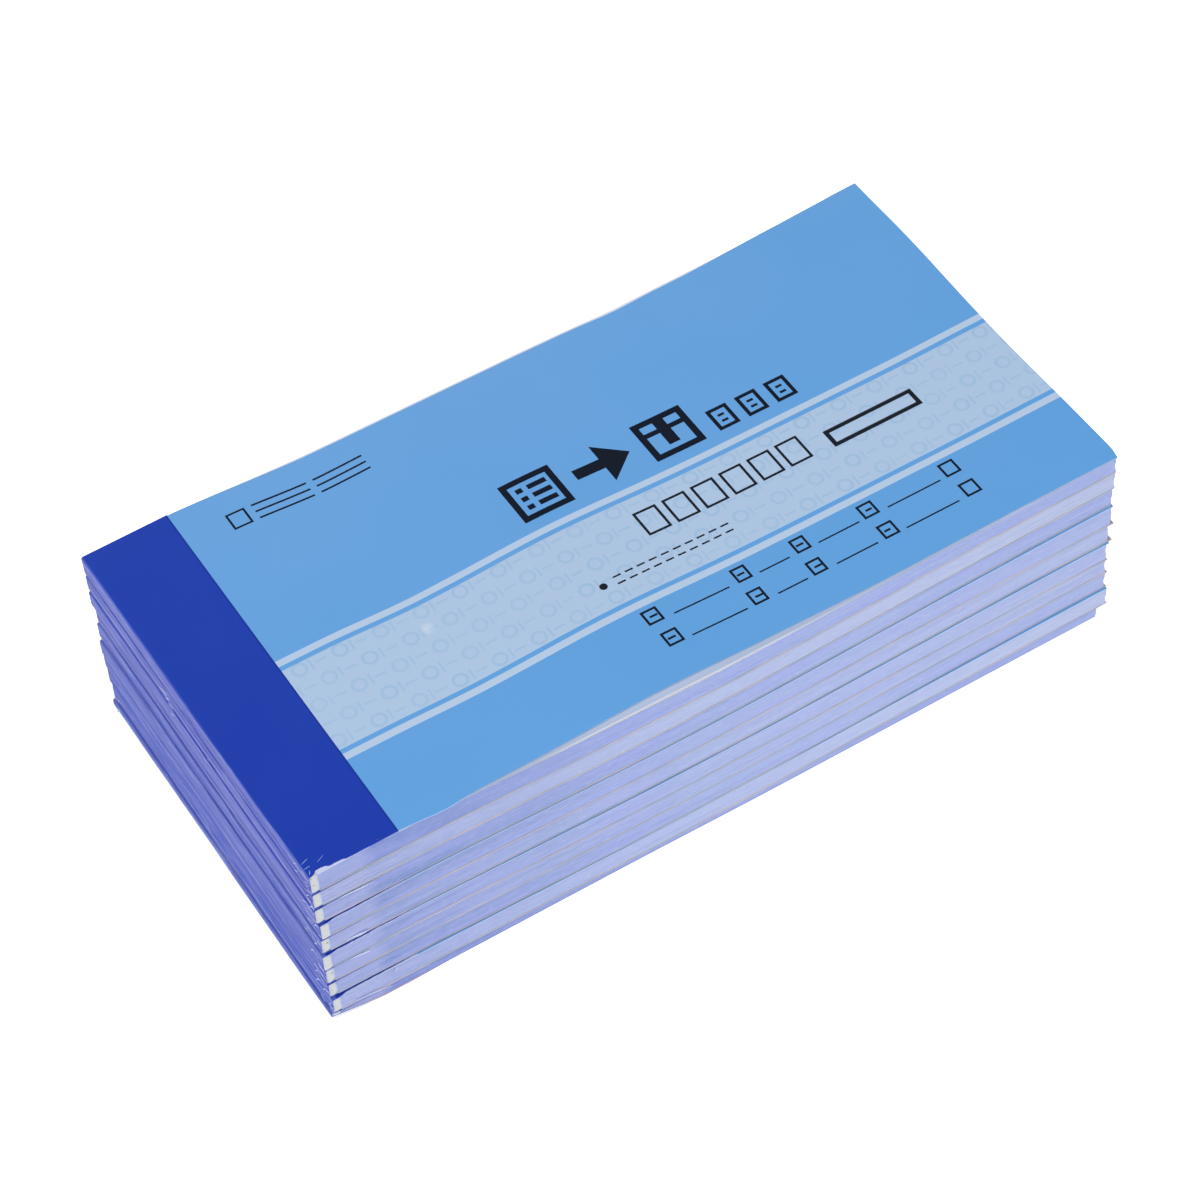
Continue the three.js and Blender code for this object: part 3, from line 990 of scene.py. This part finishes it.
def form_leaf(name, paper_colour, rule_colour, margin_shade):
    finish = Finish(f"{name}_paper", roughness=0.8)
    along, across, part = finish.paper()
    edge, blank = part.above(0.5), part.below(-0.5)
    columns = finish.bands(along, [(place, place + HAIR) for place in COLUMNS])
    rows = finish.bands(across, spans(12.0, 6.6, 9, HAIR))
    inside = finish.bars(along, across, [(COLUMNS[0], COLUMNS[-1] + HAIR)], [(12.0, 65.0)])
    form_print = rows.highest(columns) * inside
    for bar in FORM_BARS:
        form_print = form_print.highest(finish.bars(along, across, *bar))
    # painted shade: the perforation holes are not cut, and their grey stands for the shade in them
    holes = along.within(BAND + 3.0, 0.22) * across.wrapped(HOLE_PITCH).below(0.85)
    cloud = finish.noise(finish.place(along, across), 0.4, 4.0, 0.6)
    # painted highlight: where the leaf shows under the cover's wave, its front rim is painted whiter
    rim = edge.highest(across.below(0.3, 0.2))
    under_wave = along.above(50.0, 14.0) * along.below(112.0, 30.0)
    colour = finish.paint(
        paper_colour,
        ((cloud - 0.5) * 0.25 + 0.12, LEAF_CLOUD),
        (form_print * (0.8 - blank * 0.68), rule_colour),
        (holes * 0.55, HOLE_GREY),
        (across.below(2.0, 1.2) * margin_shade, MARGIN_SHADE),
        (rim * under_wave * 0.55, PAPER_WHITE),
    )
    return finish.use(base_color=colour, normal=finish.bump(cloud - holes * 0.6, 0.00003, 0.5))


form_finishes = {name: form_leaf(name, *looks) for name, looks in FORMS.items()}

# %% [markdown]
# The cut edges in plan. The leaves and boards of every pad swell out in front by more than a millimetre
# at mid-length and are drawn in as much at the back. Near the spine they run straight. A curve through
# hand-placed points could follow that, but sines and s-shaped steps say it in a line each, and leaves,
# boards and covers can share them.


# %% Edges of leaves and boards in plan
LEAF_HOLLOW = 0.72  # the leaves' back edge is drawn in by this share of what the top cover's is
ROUND_THE_CORNER = 400.0  # where the end walls start on the sheet, well past the long walls


def swell(x):
    """Sine squared of the way from crease to loose end, with its top shifted towards the crease."""
    return np.sin(math.pi * (np.maximum(0.0, x - BAND) / FREE) ** 0.78) ** 2


def smooth_step(x, start, end):
    """0 before start and 1 after end, with an s-shaped rise between."""
    way = np.clip((x - start) / (end - start), 0.0, 1.0)
    return way * way * (3.0 - 2.0 * way)


def back_draw(x):
    """How far the back edge of the top cover is drawn in: it rises within a third of the length, is
    deepest at two thirds, where a dent adds to it, and ends well before the loose end."""
    hollow = 1.6 * smooth_step(x, 16.0, 50.0) * (1.0 - smooth_step(x, 130.0, 172.0))
    dent = 0.3 * bell(x, 116.0, 14.0) + 0.3 * bell(x, 116.0, 6.0)
    return hollow + dent


def leaf_front(pad, x):
    """Half the width out and a swell more. A pad that would stand out near the spine is drawn back
    there, and the lowest pad's leaves stand out a little past the middle."""
    drawn_back = pad.drawn_back * (1.0 - smooth_step(x, 115.0, 160.0))
    stands_out = LOWEST_LEAVES_OUT * smooth_step(x, 60.0, 100.0) if pad.is_lowest else 0.0
    return -WIDTH / 2 + drawn_back - pad.swell * swell(x) - stands_out


def leaf_back(x):
    """Half the width, less a share of what the top cover's back edge is drawn in."""
    return WIDTH / 2 - LEAF_HOLLOW * back_draw(x)


def wall_sheet(x, v, height, side):
    """What the materials of a block or a board read: how far along its wall, how high up on it and 1, or
    on its two large faces the millimetres from the spine and from the front edge and 0."""
    if side == 2:
        return np.stack([x, v * WIDTH, np.zeros_like(x)], axis=-1)
    sideways = x if side == 1 else v * WIDTH + ROUND_THE_CORNER
    return np.stack([sideways, height, np.ones_like(x)], axis=-1)


def for_every_pad(what, build):
    """Builds one piece for each pad, from the lowest one up, and says how many faces they have."""
    pieces = [build(pad) for pad in pads.values()]
    print(f"{what}:", sum(len(piece.data.polygons) for piece in pieces), "faces")


middle_front = float(leaf_front(pads[1], LENGTH / 2))
print("leaves of the top pad at mid-length, front and back:", round(middle_front, 2),
      round(float(leaf_back(LENGTH / 2)), 2), "mm")


# %% [markdown]
# A leaf block is one piece with a row of points for every leaf or so. Each row is moved in or out on its
# own, by an amount that also wanders slowly along the leaf, so the wall has real relief: it catches
# light as paper does and stays lined from any side.

# %% Leaf blocks
BLOCK_ROWS = 46
LOWEST_BLOCK_ROWS = 28
HEADROOM = 0.6  # what board, cover and pinch take of a pad's height
LEAF_TONES = (0.02, 0.62, 0.1, 0.18, 0.36, 0.3, 0.34, 0.18, 0.6, 0.0)  # how grey each pad's leaves are


def leaf_block(pad):
    """At each x a rectangle from the front to the back edge and from the board to the cover. Each row of
    leaves adds its own random jut and two slow cosines of x, and both fade at the top and the bottom."""
    leaves_above = len(FORMS) if pad.is_top else 0
    stub = BAND - AIR
    length = pad.leaves_end - pad.glue_end
    rows = LOWEST_BLOCK_ROWS if pad.is_lowest else BLOCK_ROWS
    jut = grit(rows, 100 + pad.number) * 0.02
    jut = jut + 0.05 * np.sin(np.linspace(0.0, 7.0, rows) + pad.number)
    wander = grit(rows, 200 + pad.number) * 1.4 + np.linspace(0.0, 5.0, rows)

    def edge_jut(x, w):
        row = w * (rows - 1)
        own = np.interp(row, np.arange(rows), jut)
        start = np.interp(row, np.arange(rows), wander)
        slow = np.cos(x / 26.0 + start) * 0.02 + np.cos(x / 9.0 + start * 1.3) * 0.006
        return (own + slow) * np.minimum(1.0, np.minimum(w, 1.0 - w) * 14.0 + 0.15)

    def shape(u, v, w):
        x_flat = pad.glue_end + length * u
        front = leaf_front(pad, x_flat) - edge_jut(x_flat, w)
        back = leaf_back(x_flat) + edge_jut(x_flat + 300.0, w)
        y = front + (back - front) * v
        end_jut = edge_jut(y + 700.0, w) * 1.5 * (u > 0.999)
        low = pad.board_bottom(x_flat) + BOARD
        high = pad.leaf_top(x_flat, 0)
        high = np.where(x_flat > stub + 0.001, pad.leaf_top(x_flat, leaves_above), high)
        return pad.to_pile(x_flat + end_jut, y, low + (high - low) * w)

    def on_sheet(u, v, w, side):
        return wall_sheet(pad.glue_end + length * u, v, w * (pad.crease - HEADROOM), side)

    crease_share = (BAND - pad.glue_end) / length
    step = AIR / length
    u = np.unique(np.concatenate([even(110), [crease_share - step, crease_share]]))
    samples = (u, even(25), even(rows))
    name = f"cut_leaves_{pad.number:02d}"
    piece = warped_box(name, shape, samples, on_sheet, cut_leaves_finish, LEAF_TONES[pad.number - 1])
    return finish_piece(piece, pad.body, f"{pad.body}_leaf_block")


for_every_pad("leaf blocks", leaf_block)

# %% [markdown]
# The boards are cut with the leaves, but chipboard crumbles more than it cuts, so its edge is rougher
# and stands out by a few hundredths of a millimetre. A bump in the material would leave the outline
# straight, so the grid itself is moved. At the spine the board rises, to make room for the end of the
# wrap that is glued under it.


# %% Boards
def back_board(pad):
    """A slab with the leaves' outline, whose cut edges stand out by a ripple of x and height."""
    length = pad.board_end - pad.glue_end
    inset = LOWEST_BOARD_IN if pad.is_lowest else 0.0

    def ragged(x, w, seed):
        wave = ripple(x, w * 0.6, 60.0, 2.5, seed + pad.number)
        return 0.05 + 0.06 * wave * (1.0 - 0.4 * np.abs(w * 2 - 1))

    def shape(u, v, w):
        x = pad.glue_end + length * u
        front = leaf_front(pad, x) - ragged(x, w, 300) + inset * smooth_step(x, 14.0, 30.0)
        back = leaf_back(x) + ragged(x, w, 330)
        y = front + (back - front) * v
        end = 2.5 * ragged(y, w, 360) * (u > 0.999)
        return pad.to_pile(x + end, y, pad.board_bottom(x) + BOARD * w)

    def on_sheet(u, v, w, side):
        return wall_sheet(pad.glue_end + length * u, v, w * BOARD + pad.number * 3.0, side)

    tone = float(0.5 + 0.5 * grit(11, 5)[pad.number])
    u = np.unique(np.append(even(150), (BAND - pad.glue_end) / length))
    name = f"chipboard_{pad.number:02d}"
    piece = warped_box(name, shape, (u, even(50), even(4)), on_sheet, chipboard_finish, tone)
    return finish_piece(piece, pad.body, f"{pad.body}_back_board")


for_every_pad("boards", back_board)

# %% [markdown]
# The wrap is one sheet that lies on the leaves from the crease, rounds the spine and ends under the
# board. Its section is a line, given by the distance along it, and the sheet is that line drawn across
# the pad. On the real spine the paper never lies quite even: it has a few shallow lengthwise creases,
# and its rounded edges wander. Both move the line in or out.

# %% Section of the wrap
TOP_STEPS = 90
ARC_POINTS = 9
SPINE_STEPS = 41
FLANGE_STEPS = 8


def spine_line(pad, inset):
    """Points of the section from the crease to the end of the flange: a straight run, a quarter turn,
    the spine, a quarter turn and a straight run, moved inwards by inset."""
    r = pad.radius
    top = pad.wrap_top(r) - r
    bottom = pad.wrap_bottom(r) + r

    def quarter(middle, start):
        """A quarter of a circle of radius r less the inset, from the angle start."""
        turn = start + np.linspace(0.0, math.pi / 2, ARC_POINTS)
        return r + (r - inset) * np.cos(turn), middle + (r - inset) * np.sin(turn)

    over = np.linspace(BAND, r, TOP_STEPS, endpoint=False)
    down = np.linspace(0.0, 1.0, SPINE_STEPS + 1)[1:-1]
    under = np.linspace(r, FLANGE, FLANGE_STEPS + 1)[1:]
    parts = (
        (over, pad.wrap_top(over) - inset),
        quarter(top, math.pi / 2),
        (np.full_like(down, inset), top + (bottom - top) * down),
        quarter(bottom, math.pi),
        (under, pad.wrap_bottom(under) + inset),
    )
    return [np.concatenate(places) for places in zip(*parts)]


def line_lengths(xs, zs):
    """The distance along a line at each of its points: the running sum of its straight steps."""
    return np.concatenate([[0.0], np.cumsum(np.hypot(np.diff(xs), np.diff(zs)))])


section_length = float(line_lengths(*spine_line(pads[1], 0.0))[-1])
print("section of the top pad's wrap:", round(section_length, 2), "mm long")


# %% [markdown]
# With the line known, the wrap is quickly made: each point goes to its place on the line and is then
# moved along the line's own outward direction by the creases. A curve with a bevel could carry a section
# too, but its creases couldn't wander across the pad. The front edge is cut short, or torn on the top pad.


# %% Wrapped spines
FLANGE_GAP = 20.0  # added to the distance along the sheet on the flange, which isn't worn
CREASE_WIDTH = 0.11
WRAP_SHORT = 0.24  # how far a lower pad's wrap ends behind the leaves in front
WRAP_SHORTER = {9: 0.4}  # and on a pad where it is more
TEAR = (  # distance from the spine, and how far the top pad's wrap is torn back there
    (-0.6, 0.0), (0.4, 0.12), (1.4, 0.4), (2.1, 0.95), (3.8, 0.85),
    (4.3, 0.45), (7.2, 0.36), (7.7, 0.14), (12.0, 0.1), (12.6, 0.02),
)


def spine_waves(pad, s, y):
    """How far the spine's paper stands in (negative) or out at the distance s along the section and y
    across the pad: a slow unevenness, and lengthwise creases whose place wanders."""
    first = BAND - pad.radius
    height = pad.wrap_top(0.0) - pad.wrap_bottom(0.0)
    last = first + height
    count = 3 if pad.is_lowest else 6
    places = first + 1.0 + (0.5 + 0.5 * grit(count, 400 + pad.number)) * (height - 0.6)
    depths = 0.04 + 0.025 * grit(count, 430 + pad.number)
    total = 0.05 * ripple(s * 3.0, y, 110.0, 14.0, 460 + pad.number)
    for k in range(count):
        middle = places[k] + 0.4 * ripple(y, 0.0, 110.0, 22.0, 500 + 10 * pad.number + k, waves=4)
        total = total - depths[k] * bell(s, middle, CREASE_WIDTH)
        total = total + 0.6 * depths[k] * bell(s, middle + 0.3, 0.2)
    return total * smooth_step(s, first - 0.4, first + 0.6) * (1.0 - smooth_step(s, last, last + 1.0))


def front_wear(pad, s):
    """How far the wrap's front edge lies behind the leaves: torn back in steps near the top pad's corner,
    and a little short on the lower pads, where it was cut before the leaves."""
    rough = ripple(s, 0.0, 5.0, 0.7, 560 + pad.number)
    if pad.is_top:
        return np.maximum(0.0, np.interp(BAND - s, *zip(*TEAR)) * (1.0 + 0.25 * rough))
    short = WRAP_SHORTER.get(pad.number, WRAP_SHORT) + 0.06 * rough
    return pad.drawn_back + short * (1.0 - smooth_step(s, 14.5, 16.8))


def wrapped_spine(pad):
    """A point is the inner line at u, plus w times the paper's thickness and plus the spine's waves, both
    along the outward direction there. v runs across the pad."""
    outer_x, outer_z = spine_line(pad, 0.0)
    inner_x, inner_z = spine_line(pad, COVER)
    lengths = line_lengths(outer_x, outer_z)
    steps = even(len(lengths))
    away_x = (outer_x - inner_x) / COVER
    away_z = (outer_z - inner_z) / COVER
    spine_end = lengths[-1 - FLANGE_STEPS]

    def shape(u, v, w):
        s = np.interp(u, steps, lengths)
        y = -WIDTH / 2 + WIDTH * v
        x = np.interp(u, steps, inner_x) + COVER * w * np.interp(u, steps, away_x)
        z = np.interp(u, steps, inner_z) + COVER * w * np.interp(u, steps, away_z)
        move = spine_waves(pad, s, y)
        x = x + move * np.interp(u, steps, away_x)
        z = z + move * np.interp(u, steps, away_z)
        return pad.to_pile(x, y + front_wear(pad, s) * (v < 0.001), z)

    def on_sheet(u, v, w, side):
        s = np.interp(u, steps, lengths)
        edge = np.full_like(s, 1.0 if side == 1 else 0.0)
        return np.stack([s + FLANGE_GAP * (s > spine_end), v * WIDTH, edge], axis=-1)

    samples = (steps, even(89), even(2))
    name = f"wrapped_spine_{pad.number:02d}"
    piece = warped_box(name, shape, samples, on_sheet, blue_band_finish, pad.number * TONE_STEP)
    return finish_piece(piece, pad.body, f"{pad.body}_spine_wrap")


for_every_pad("wrapped spines", wrapped_spine)

# %% [markdown]
# The glue fills the wrap behind the ends of the leaves. Only its two cut ends show, as cream blocks with
# soft corners, so the ends are slightly domed and dented. The section runs from the wrap's inner line
# (w = 1) to the straight end of the leaves (w = 0).


# %% Glue beads
def glue_bead(pad):
    """Straight lines join the leaves' end to the wrap's inner line, drawn across the pad. Both cut ends
    are moved inwards by a ripple and by a rim that grows with the fourth and sixth power to its border."""
    line_x, line_z = spine_line(pad, COVER)
    inside = np.flatnonzero(line_x <= pad.glue_end)
    first, last = inside[0], inside[-1]
    line_x = np.concatenate([[pad.glue_end], line_x[first : last + 1], [pad.glue_end]])
    top = pad.leaf_top(pad.glue_end)
    bottom = float(pad.wrap_bottom(pad.glue_end)) + COVER
    line_z = np.concatenate([[top], line_z[first : last + 1], [bottom]])
    steps = even(len(line_x))

    def in_section(u, w):
        end_z = top + (bottom - top) * u
        x = pad.glue_end + (np.interp(u, steps, line_x) - pad.glue_end) * w
        return x, end_z + (np.interp(u, steps, line_z) - end_z) * w

    def shape(u, v, w):
        x, z = in_section(u, w)
        y = -WIDTH / 2 + WIDTH * v
        along_section = BAND - pad.glue_end + np.interp(u, steps, line_lengths(line_x, line_z))
        wave = spine_waves(pad, along_section, y) * w
        hidden = 0.14 * smooth_step(WIDTH / 2 - np.abs(y), 0.0, 2.0) * w
        x = x + (hidden - wave * 0.9) * (np.interp(u, steps, line_x) < pad.glue_end - 0.4)
        rim = np.maximum(w**4, np.abs(2 * u - 1) ** 6)
        dent = 0.05 * ripple(x * 3.0, z * 3.0, 9.0, 2.0, 600 + pad.number) + 0.16 * rim
        y = y + np.where(v < 0.001, dent, 0.0) - np.where(v > 0.999, dent, 0.0)
        return pad.to_pile(x, y, z)

    def on_sheet(u, v, w, side):
        x, z = in_section(u, w)
        return np.stack([x, z + (side != 1) * 9.0, np.ones_like(x)], axis=-1)

    samples = (steps, even(41), even(9))
    name = f"glue_bead_{pad.number:02d}"
    tone = float(0.5 + 0.5 * grit(11, 9)[pad.number])
    piece = warped_box(name, shape, samples, on_sheet, set_glue_finish, tone)
    return finish_piece(piece, pad.body, f"{pad.body}_glue_strip")


for_every_pad("glue beads", glue_bead)

# %% [markdown]
# A cover is the free part of the printed sheet, from the crease to the loose end. The top one shows best.
# Its long edges lie inside the leaves at mid-length, its front edge has lifted a little where the damp
# got in, and the corner nearest the viewer is turned down. The other covers lie pressed flat and keep
# only the plain bowed outline. A cloth simulation could lift the edge, but it would settle elsewhere on
# each try, and a bell-shaped wave puts it where it is on the real cover.

# %% Covers
WAVE_HEIGHT = 1.02


def lifted(x, y):
    """Height of the top cover's wave over the leaves: a bell along the front edge, fading to the back."""
    to_back = np.clip((y + WIDTH / 2) / WIDTH, 0.0, 1.0)
    return WAVE_HEIGHT * bell(x, 72.0, 20.0) * (1.0 - to_back) ** 1.5 * smooth_step(x, BAND, BAND + 24.0)


def top_cover_edges(x):
    """Front and back edge in plan: a straight front edge that stands out just past the crease and is
    rounded at its end, and the drawn-in back edge."""
    front = -WIDTH / 2 - 0.5 * bell(x, 27.0, 4.5) + 0.12 * smooth_step(x, 40.0, 70.0)
    front = front - 0.62 * swell(x) * smooth_step(x, 98.0, 126.0)
    back = WIDTH / 2 - 0.15 - back_draw(x) + 0.3 * smooth_step(x, 132.0, 150.0) + 0.5 * bell(x, 176.0, 9.0)
    return front, back


def end_wave(y):
    """How far the top cover's loose end stands out: a slanting bow with a shallow and a raised place."""
    side = 2 * y / WIDTH
    bow = 0.12 + 0.12 * side + 0.16 * side**2
    return bow - 0.3 * bell(y, -6.0, 16.0) + 0.3 * bell(y, 26.0, 13.0) - 0.4 * bell(y, -44.5, 2.0)


def lower_cover_edges(pad, x):
    """Front and back edge of a pressed cover, a hair inside those of the leaves."""
    return leaf_front(pad, x) + 0.03, leaf_back(x) - 0.1


def print_drift(x, v):
    """How far the print runs out of line towards the front, growing from the front edge to the back."""
    along = smooth_step(x, 27.0, 48.0) * (1.0 - 1.1 * bell(x, 78.0, 20.0))
    return (0.1 + 0.0145 * v) * along * (1.0 - 0.6 * smooth_step(x, 150.0, 178.0))


def printed_sheet(pad):
    """A flat sheet turned about the crease by the pad's slope: its height is w times its thickness, plus
    the wave on the top cover, and its long edges move by a ripple of x and y."""
    is_top = pad.is_top
    cosine, sine = math.cos(pad.slope), math.sin(pad.slope)
    level = pad.crease - AIR - COVER
    free = pad.cover_end - BAND

    def outline(u, v):
        x = BAND + free * u
        front, back = top_cover_edges(x) if is_top else lower_cover_edges(pad, x)
        return x, front + (back - front) * v

    def shape(u, v, w):
        x, y = outline(u, v)
        z = COVER * w
        if is_top:
            z = z + lifted(x, y)
            x = x + end_wave(y) * u**12
        rag = 0.025 * ripple(x, y, 30.0, 2.0, 700 + pad.number)
        y = y + rag * (v < 0.001) - rag * (v > 0.999)
        along = x - BAND
        return pad.to_pile(BAND + along * cosine - z * sine, y, level + along * sine + z * cosine)

    def on_sheet(u, v, w, side):
        x, y = outline(u, v)
        sheet = flat_sheet(x, y, w, side)
        sheet[..., 1] += print_drift(x, sheet[..., 1])
        return sheet

    samples = (even(159 if is_top else 100), even(89 if is_top else 31), even(2))
    name = f"printed_cover_{pad.number:02d}"
    piece = warped_box(name, shape, samples, on_sheet, printed_cover_finish, 0.0 if is_top else 1.0)
    body = "front_cover" if is_top else pad.body
    return finish_piece(piece, body, f"{pad.body}_front_cover")


for_every_pad("covers", printed_sheet)

# %% [markdown]
# The first set of the top pad: a white, a pink and a yellow leaf, each free to turn at the crease. They
# are sheets a tenth of a millimetre thick with the outline of the block below them. The white leaf's
# front edge is the pale line that shows in front of the cover. Each leaf follows a share of the cover's
# wave, so that they part a little under it, as paper does, and never pass through one another.


# %% Loose leaves
FOLLOW = (0.35, 0.2, 0.1)  # share of the cover's wave that each leaf takes at its front edge
STEP_BACK = 0.07  # how much further back each leaf's front edge lies


def loose_leaf(kind, leaves_above):
    """A sheet one leaf thick with the leaves' outline. It takes a share of the cover's wave, which grows
    from the front edge inwards and is less the deeper the leaf lies."""
    pad = pads[1]
    free = pad.leaves_end - BAND
    follow = FOLLOW[leaves_above]

    def shape(u, v, w):
        x = BAND + free * u
        ragged = 0.03 * ripple(x, 0.0, 40.0, 3.0, 800 + leaves_above)
        front = leaf_front(pad, x) + ragged + STEP_BACK * leaves_above
        back = leaf_back(x) + ragged
        y = front + (back - front) * v
        low = pad.leaf_top(x, leaves_above + 1)
        high = pad.leaf_top(x, leaves_above)
        behind = smooth_step(y - front, 0.25, 1.5)
        rise = (follow + (0.9 - follow) * behind * (1.0 - 0.04 * leaves_above)) * lifted(x, y)
        return pad.to_pile(x, y, low + (high - low) * (0.06 + 0.88 * w) + rise)

    def on_sheet(u, v, w, side):
        x = BAND + free * u
        return flat_sheet(x, v * WIDTH - WIDTH / 2, w, side)

    across_steps = np.unique(np.concatenate([even(45), np.linspace(0.0, 0.025, 8)]))
    samples = (even(111), across_steps, even(2))
    piece = warped_box(f"{kind}_sheet", shape, samples, on_sheet, form_finishes[kind])
    return finish_piece(piece, kind, f"pad_01_{kind}")


for leaves_above, kind in enumerate(FORMS):
    loose_leaf(kind, leaves_above)
print("loose leaves:", ", ".join(FORMS))

# %% [markdown]
# Handling has left small tears. Slivers of leaf stand out of the joints near the glue, and the blue paper
# is scuffed through to its white core at the corners and at one dent in the spine. Each is a flake of
# real paper here: a thin strip that narrows at both ends and lifts off at one of them.

# %% Torn paper
FACES = {  # along, across and outwards, for flakes on the front, on the spine and on the cover
    "front": ((1.0, 0.0, 0.0), (0.0, 0.0, 1.0), (0.0, -1.0, 0.0)),
    "spine": ((0.0, 1.0, 0.0), (0.0, 0.0, 1.0), (-1.0, 0.0, 0.0)),
    "top": ((1.0, 0.0, 0.0), (0.0, 1.0, 0.0), (0.0, 0.0, 1.0)),
}
FACE_TONES = {"front": 1.0, "spine": 0.75, "top": 0.15}  # how white a flake on that face is
FLAKE_BLUE = screen_colour(108, 138, 208)
FLAKE_SHADE = screen_colour(170, 180, 222)
SCUFFS = 6  # seeded flakes on each spine's front corner
# Pad, face, place in the pad's frame, length, width, turn in degrees, how far the end stands off
TEARS = [
    (3, "front", (8.6, -44.14, 4.6), 7.4, 0.3, -1.5, 0.3),
    (5, "front", (7.0, -44.0, 0.85), 4.4, 0.42, 2.0, 0.3),
    (5, "front", (8.4, -44.0, 0.5), 2.6, 0.4, 14.0, 0.3),
    (7, "front", (7.2, -44.1, 4.3), 4.2, 0.46, -4.0, 0.3),
    (9, "front", (8.2, -44.14, 0.6), 7.2, 0.26, -5.0, 0.3),
    (9, "front", (13.4, -44.1, 4.0), 1.7, 0.22, 70.0, 0.3),
    (2, "spine", (-0.02, 12.0, 3.1), 2.6, 0.5, 8.0, 0.2),
    (2, "spine", (-0.02, 10.7, 2.4), 1.6, 0.35, -35.0, 0.25),
    (2, "spine", (-0.02, 9.9, 0.9), 1.5, 0.45, 20.0, 0.2),
    (3, "spine", (-0.02, 9.4, 3.7), 1.2, 0.3, -20.0, 0.2),
    (3, "spine", (-0.02, -3.2, 3.6), 1.0, 0.3, 60.0, 0.15),
    (2, "spine", (-0.02, -4.6, 0.8), 0.8, 0.25, 75.0, 0.15),
    (10, "spine", (-0.02, 43.2, 1.3), 1.8, 0.5, 55.0, 0.3),
    (10, "spine", (-0.02, 41.4, 1.6), 1.9, 0.5, -60.0, 0.3),
    (9, "spine", (-0.02, 42.4, 1.4), 1.6, 0.4, 80.0, 0.3),
    (9, "spine", (-0.02, 41.2, 2.2), 1.3, 0.35, 15.0, 0.25),
    (9, "spine", (-0.02, 43.6, 0.6), 1.2, 0.3, 20.0, 0.2),
    (1, "top", (1.2, -40.4, 5.225), 1.7, 0.16, 19.0, 0.06),
    (1, "top", (0.9, -41.8, 5.215), 1.3, 0.15, 8.0, 0.06),
    (1, "top", (3.8, -41.4, 5.255), 2.0, 0.1, 26.0, 0.04),
    (1, "top", (0.8, -43.0, 5.21), 1.0, 0.2, 60.0, 0.06),
]


def corner_scuffs():
    """Seeded small flakes on the spine close to the front corner, over the whole height of the pile."""
    draw = np.random.default_rng(77)
    scuffs = []
    for pad in pads.values():
        if pad.is_lowest:
            continue
        for _ in range(SCUFFS):
            place = (-0.02, -43.7 + 5.0 * draw.uniform() ** 2, draw.uniform(0.4, pad.crease - 0.5))
            scuffs.append((pad.number, "spine", place, draw.uniform(0.6, 2.2), draw.uniform(0.15, 0.32),
                           draw.uniform(-50.0, 50.0), draw.uniform(0.05, 0.25)))
    return scuffs


# %% [markdown]
# A flake is fibrous and matt, white at its core and still blue where the print holds on. It goes through
# the same box builder, as a strip of fewer than a hundred faces, because there are many of them. It has
# no node of its own in the CAD part, so it only rides on its pad.


# %% Flakes
FLAKE_THICKNESS = 0.05
FLAKE_GAP = 0.01  # between a flake and the face that it sits on


def torn_paper():
    finish = Finish("torn_paper", roughness=0.85)
    along, across, edge = finish.paper()
    tone = finish.own_tone()
    fibres = finish.noise(finish.place(along * 1.2, across * 4.0), 1.6, 4.0)
    white = finish.mix(fibres.ramp(0.4, 2.5), FLAKE_SHADE, PAPER_WHITE)
    colour = finish.mix(tone, FLAKE_BLUE, white)
    return finish.use(base_color=colour, normal=finish.bump(fibres, 0.00003, 0.5))


torn_paper_finish = torn_paper()


def paper_flake(count, number, face, place, length, width, turn, lift):
    """A strip along a turned direction: its width goes with the sine of the way, to the power 0.7, and
    it stands off the face with the square of the way."""
    pad = pads[number]
    axes = np.array(FACES[face])
    angle = math.radians(turn)
    run = axes[0] * math.cos(angle) + axes[1] * math.sin(angle)
    rise = axes[1] * math.cos(angle) - axes[0] * math.sin(angle)

    def shape(u, v, w):
        way = (u - 0.5) * length
        bend = 0.12 * np.sin(u * 5.0 + count) * width
        spread = (v - 0.5) * width * (np.sin(math.pi * np.clip(u, 0.02, 0.98)) ** 0.7) + bend
        off = FLAKE_GAP + lift * u**2 + FLAKE_THICKNESS * w
        x, y, z = (place[k] + run[k] * way + rise[k] * spread + axes[2][k] * off for k in range(3))
        return pad.to_pile(x, y, z)

    def on_sheet(u, v, w, side):
        return np.stack([u * length + count * 5.0, v * width, np.ones_like(u)], axis=-1)

    samples = (even(11), even(4), even(2))
    name = f"torn_paper_{count:02d}"
    piece = warped_box(name, shape, samples, on_sheet, torn_paper_finish, FACE_TONES[face])
    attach(piece, pad.body)


tears = TEARS + corner_scuffs()
for count, tear in enumerate(tears, 1):
    paper_flake(count, *tear)
print("torn paper:", len(tears), "flakes")
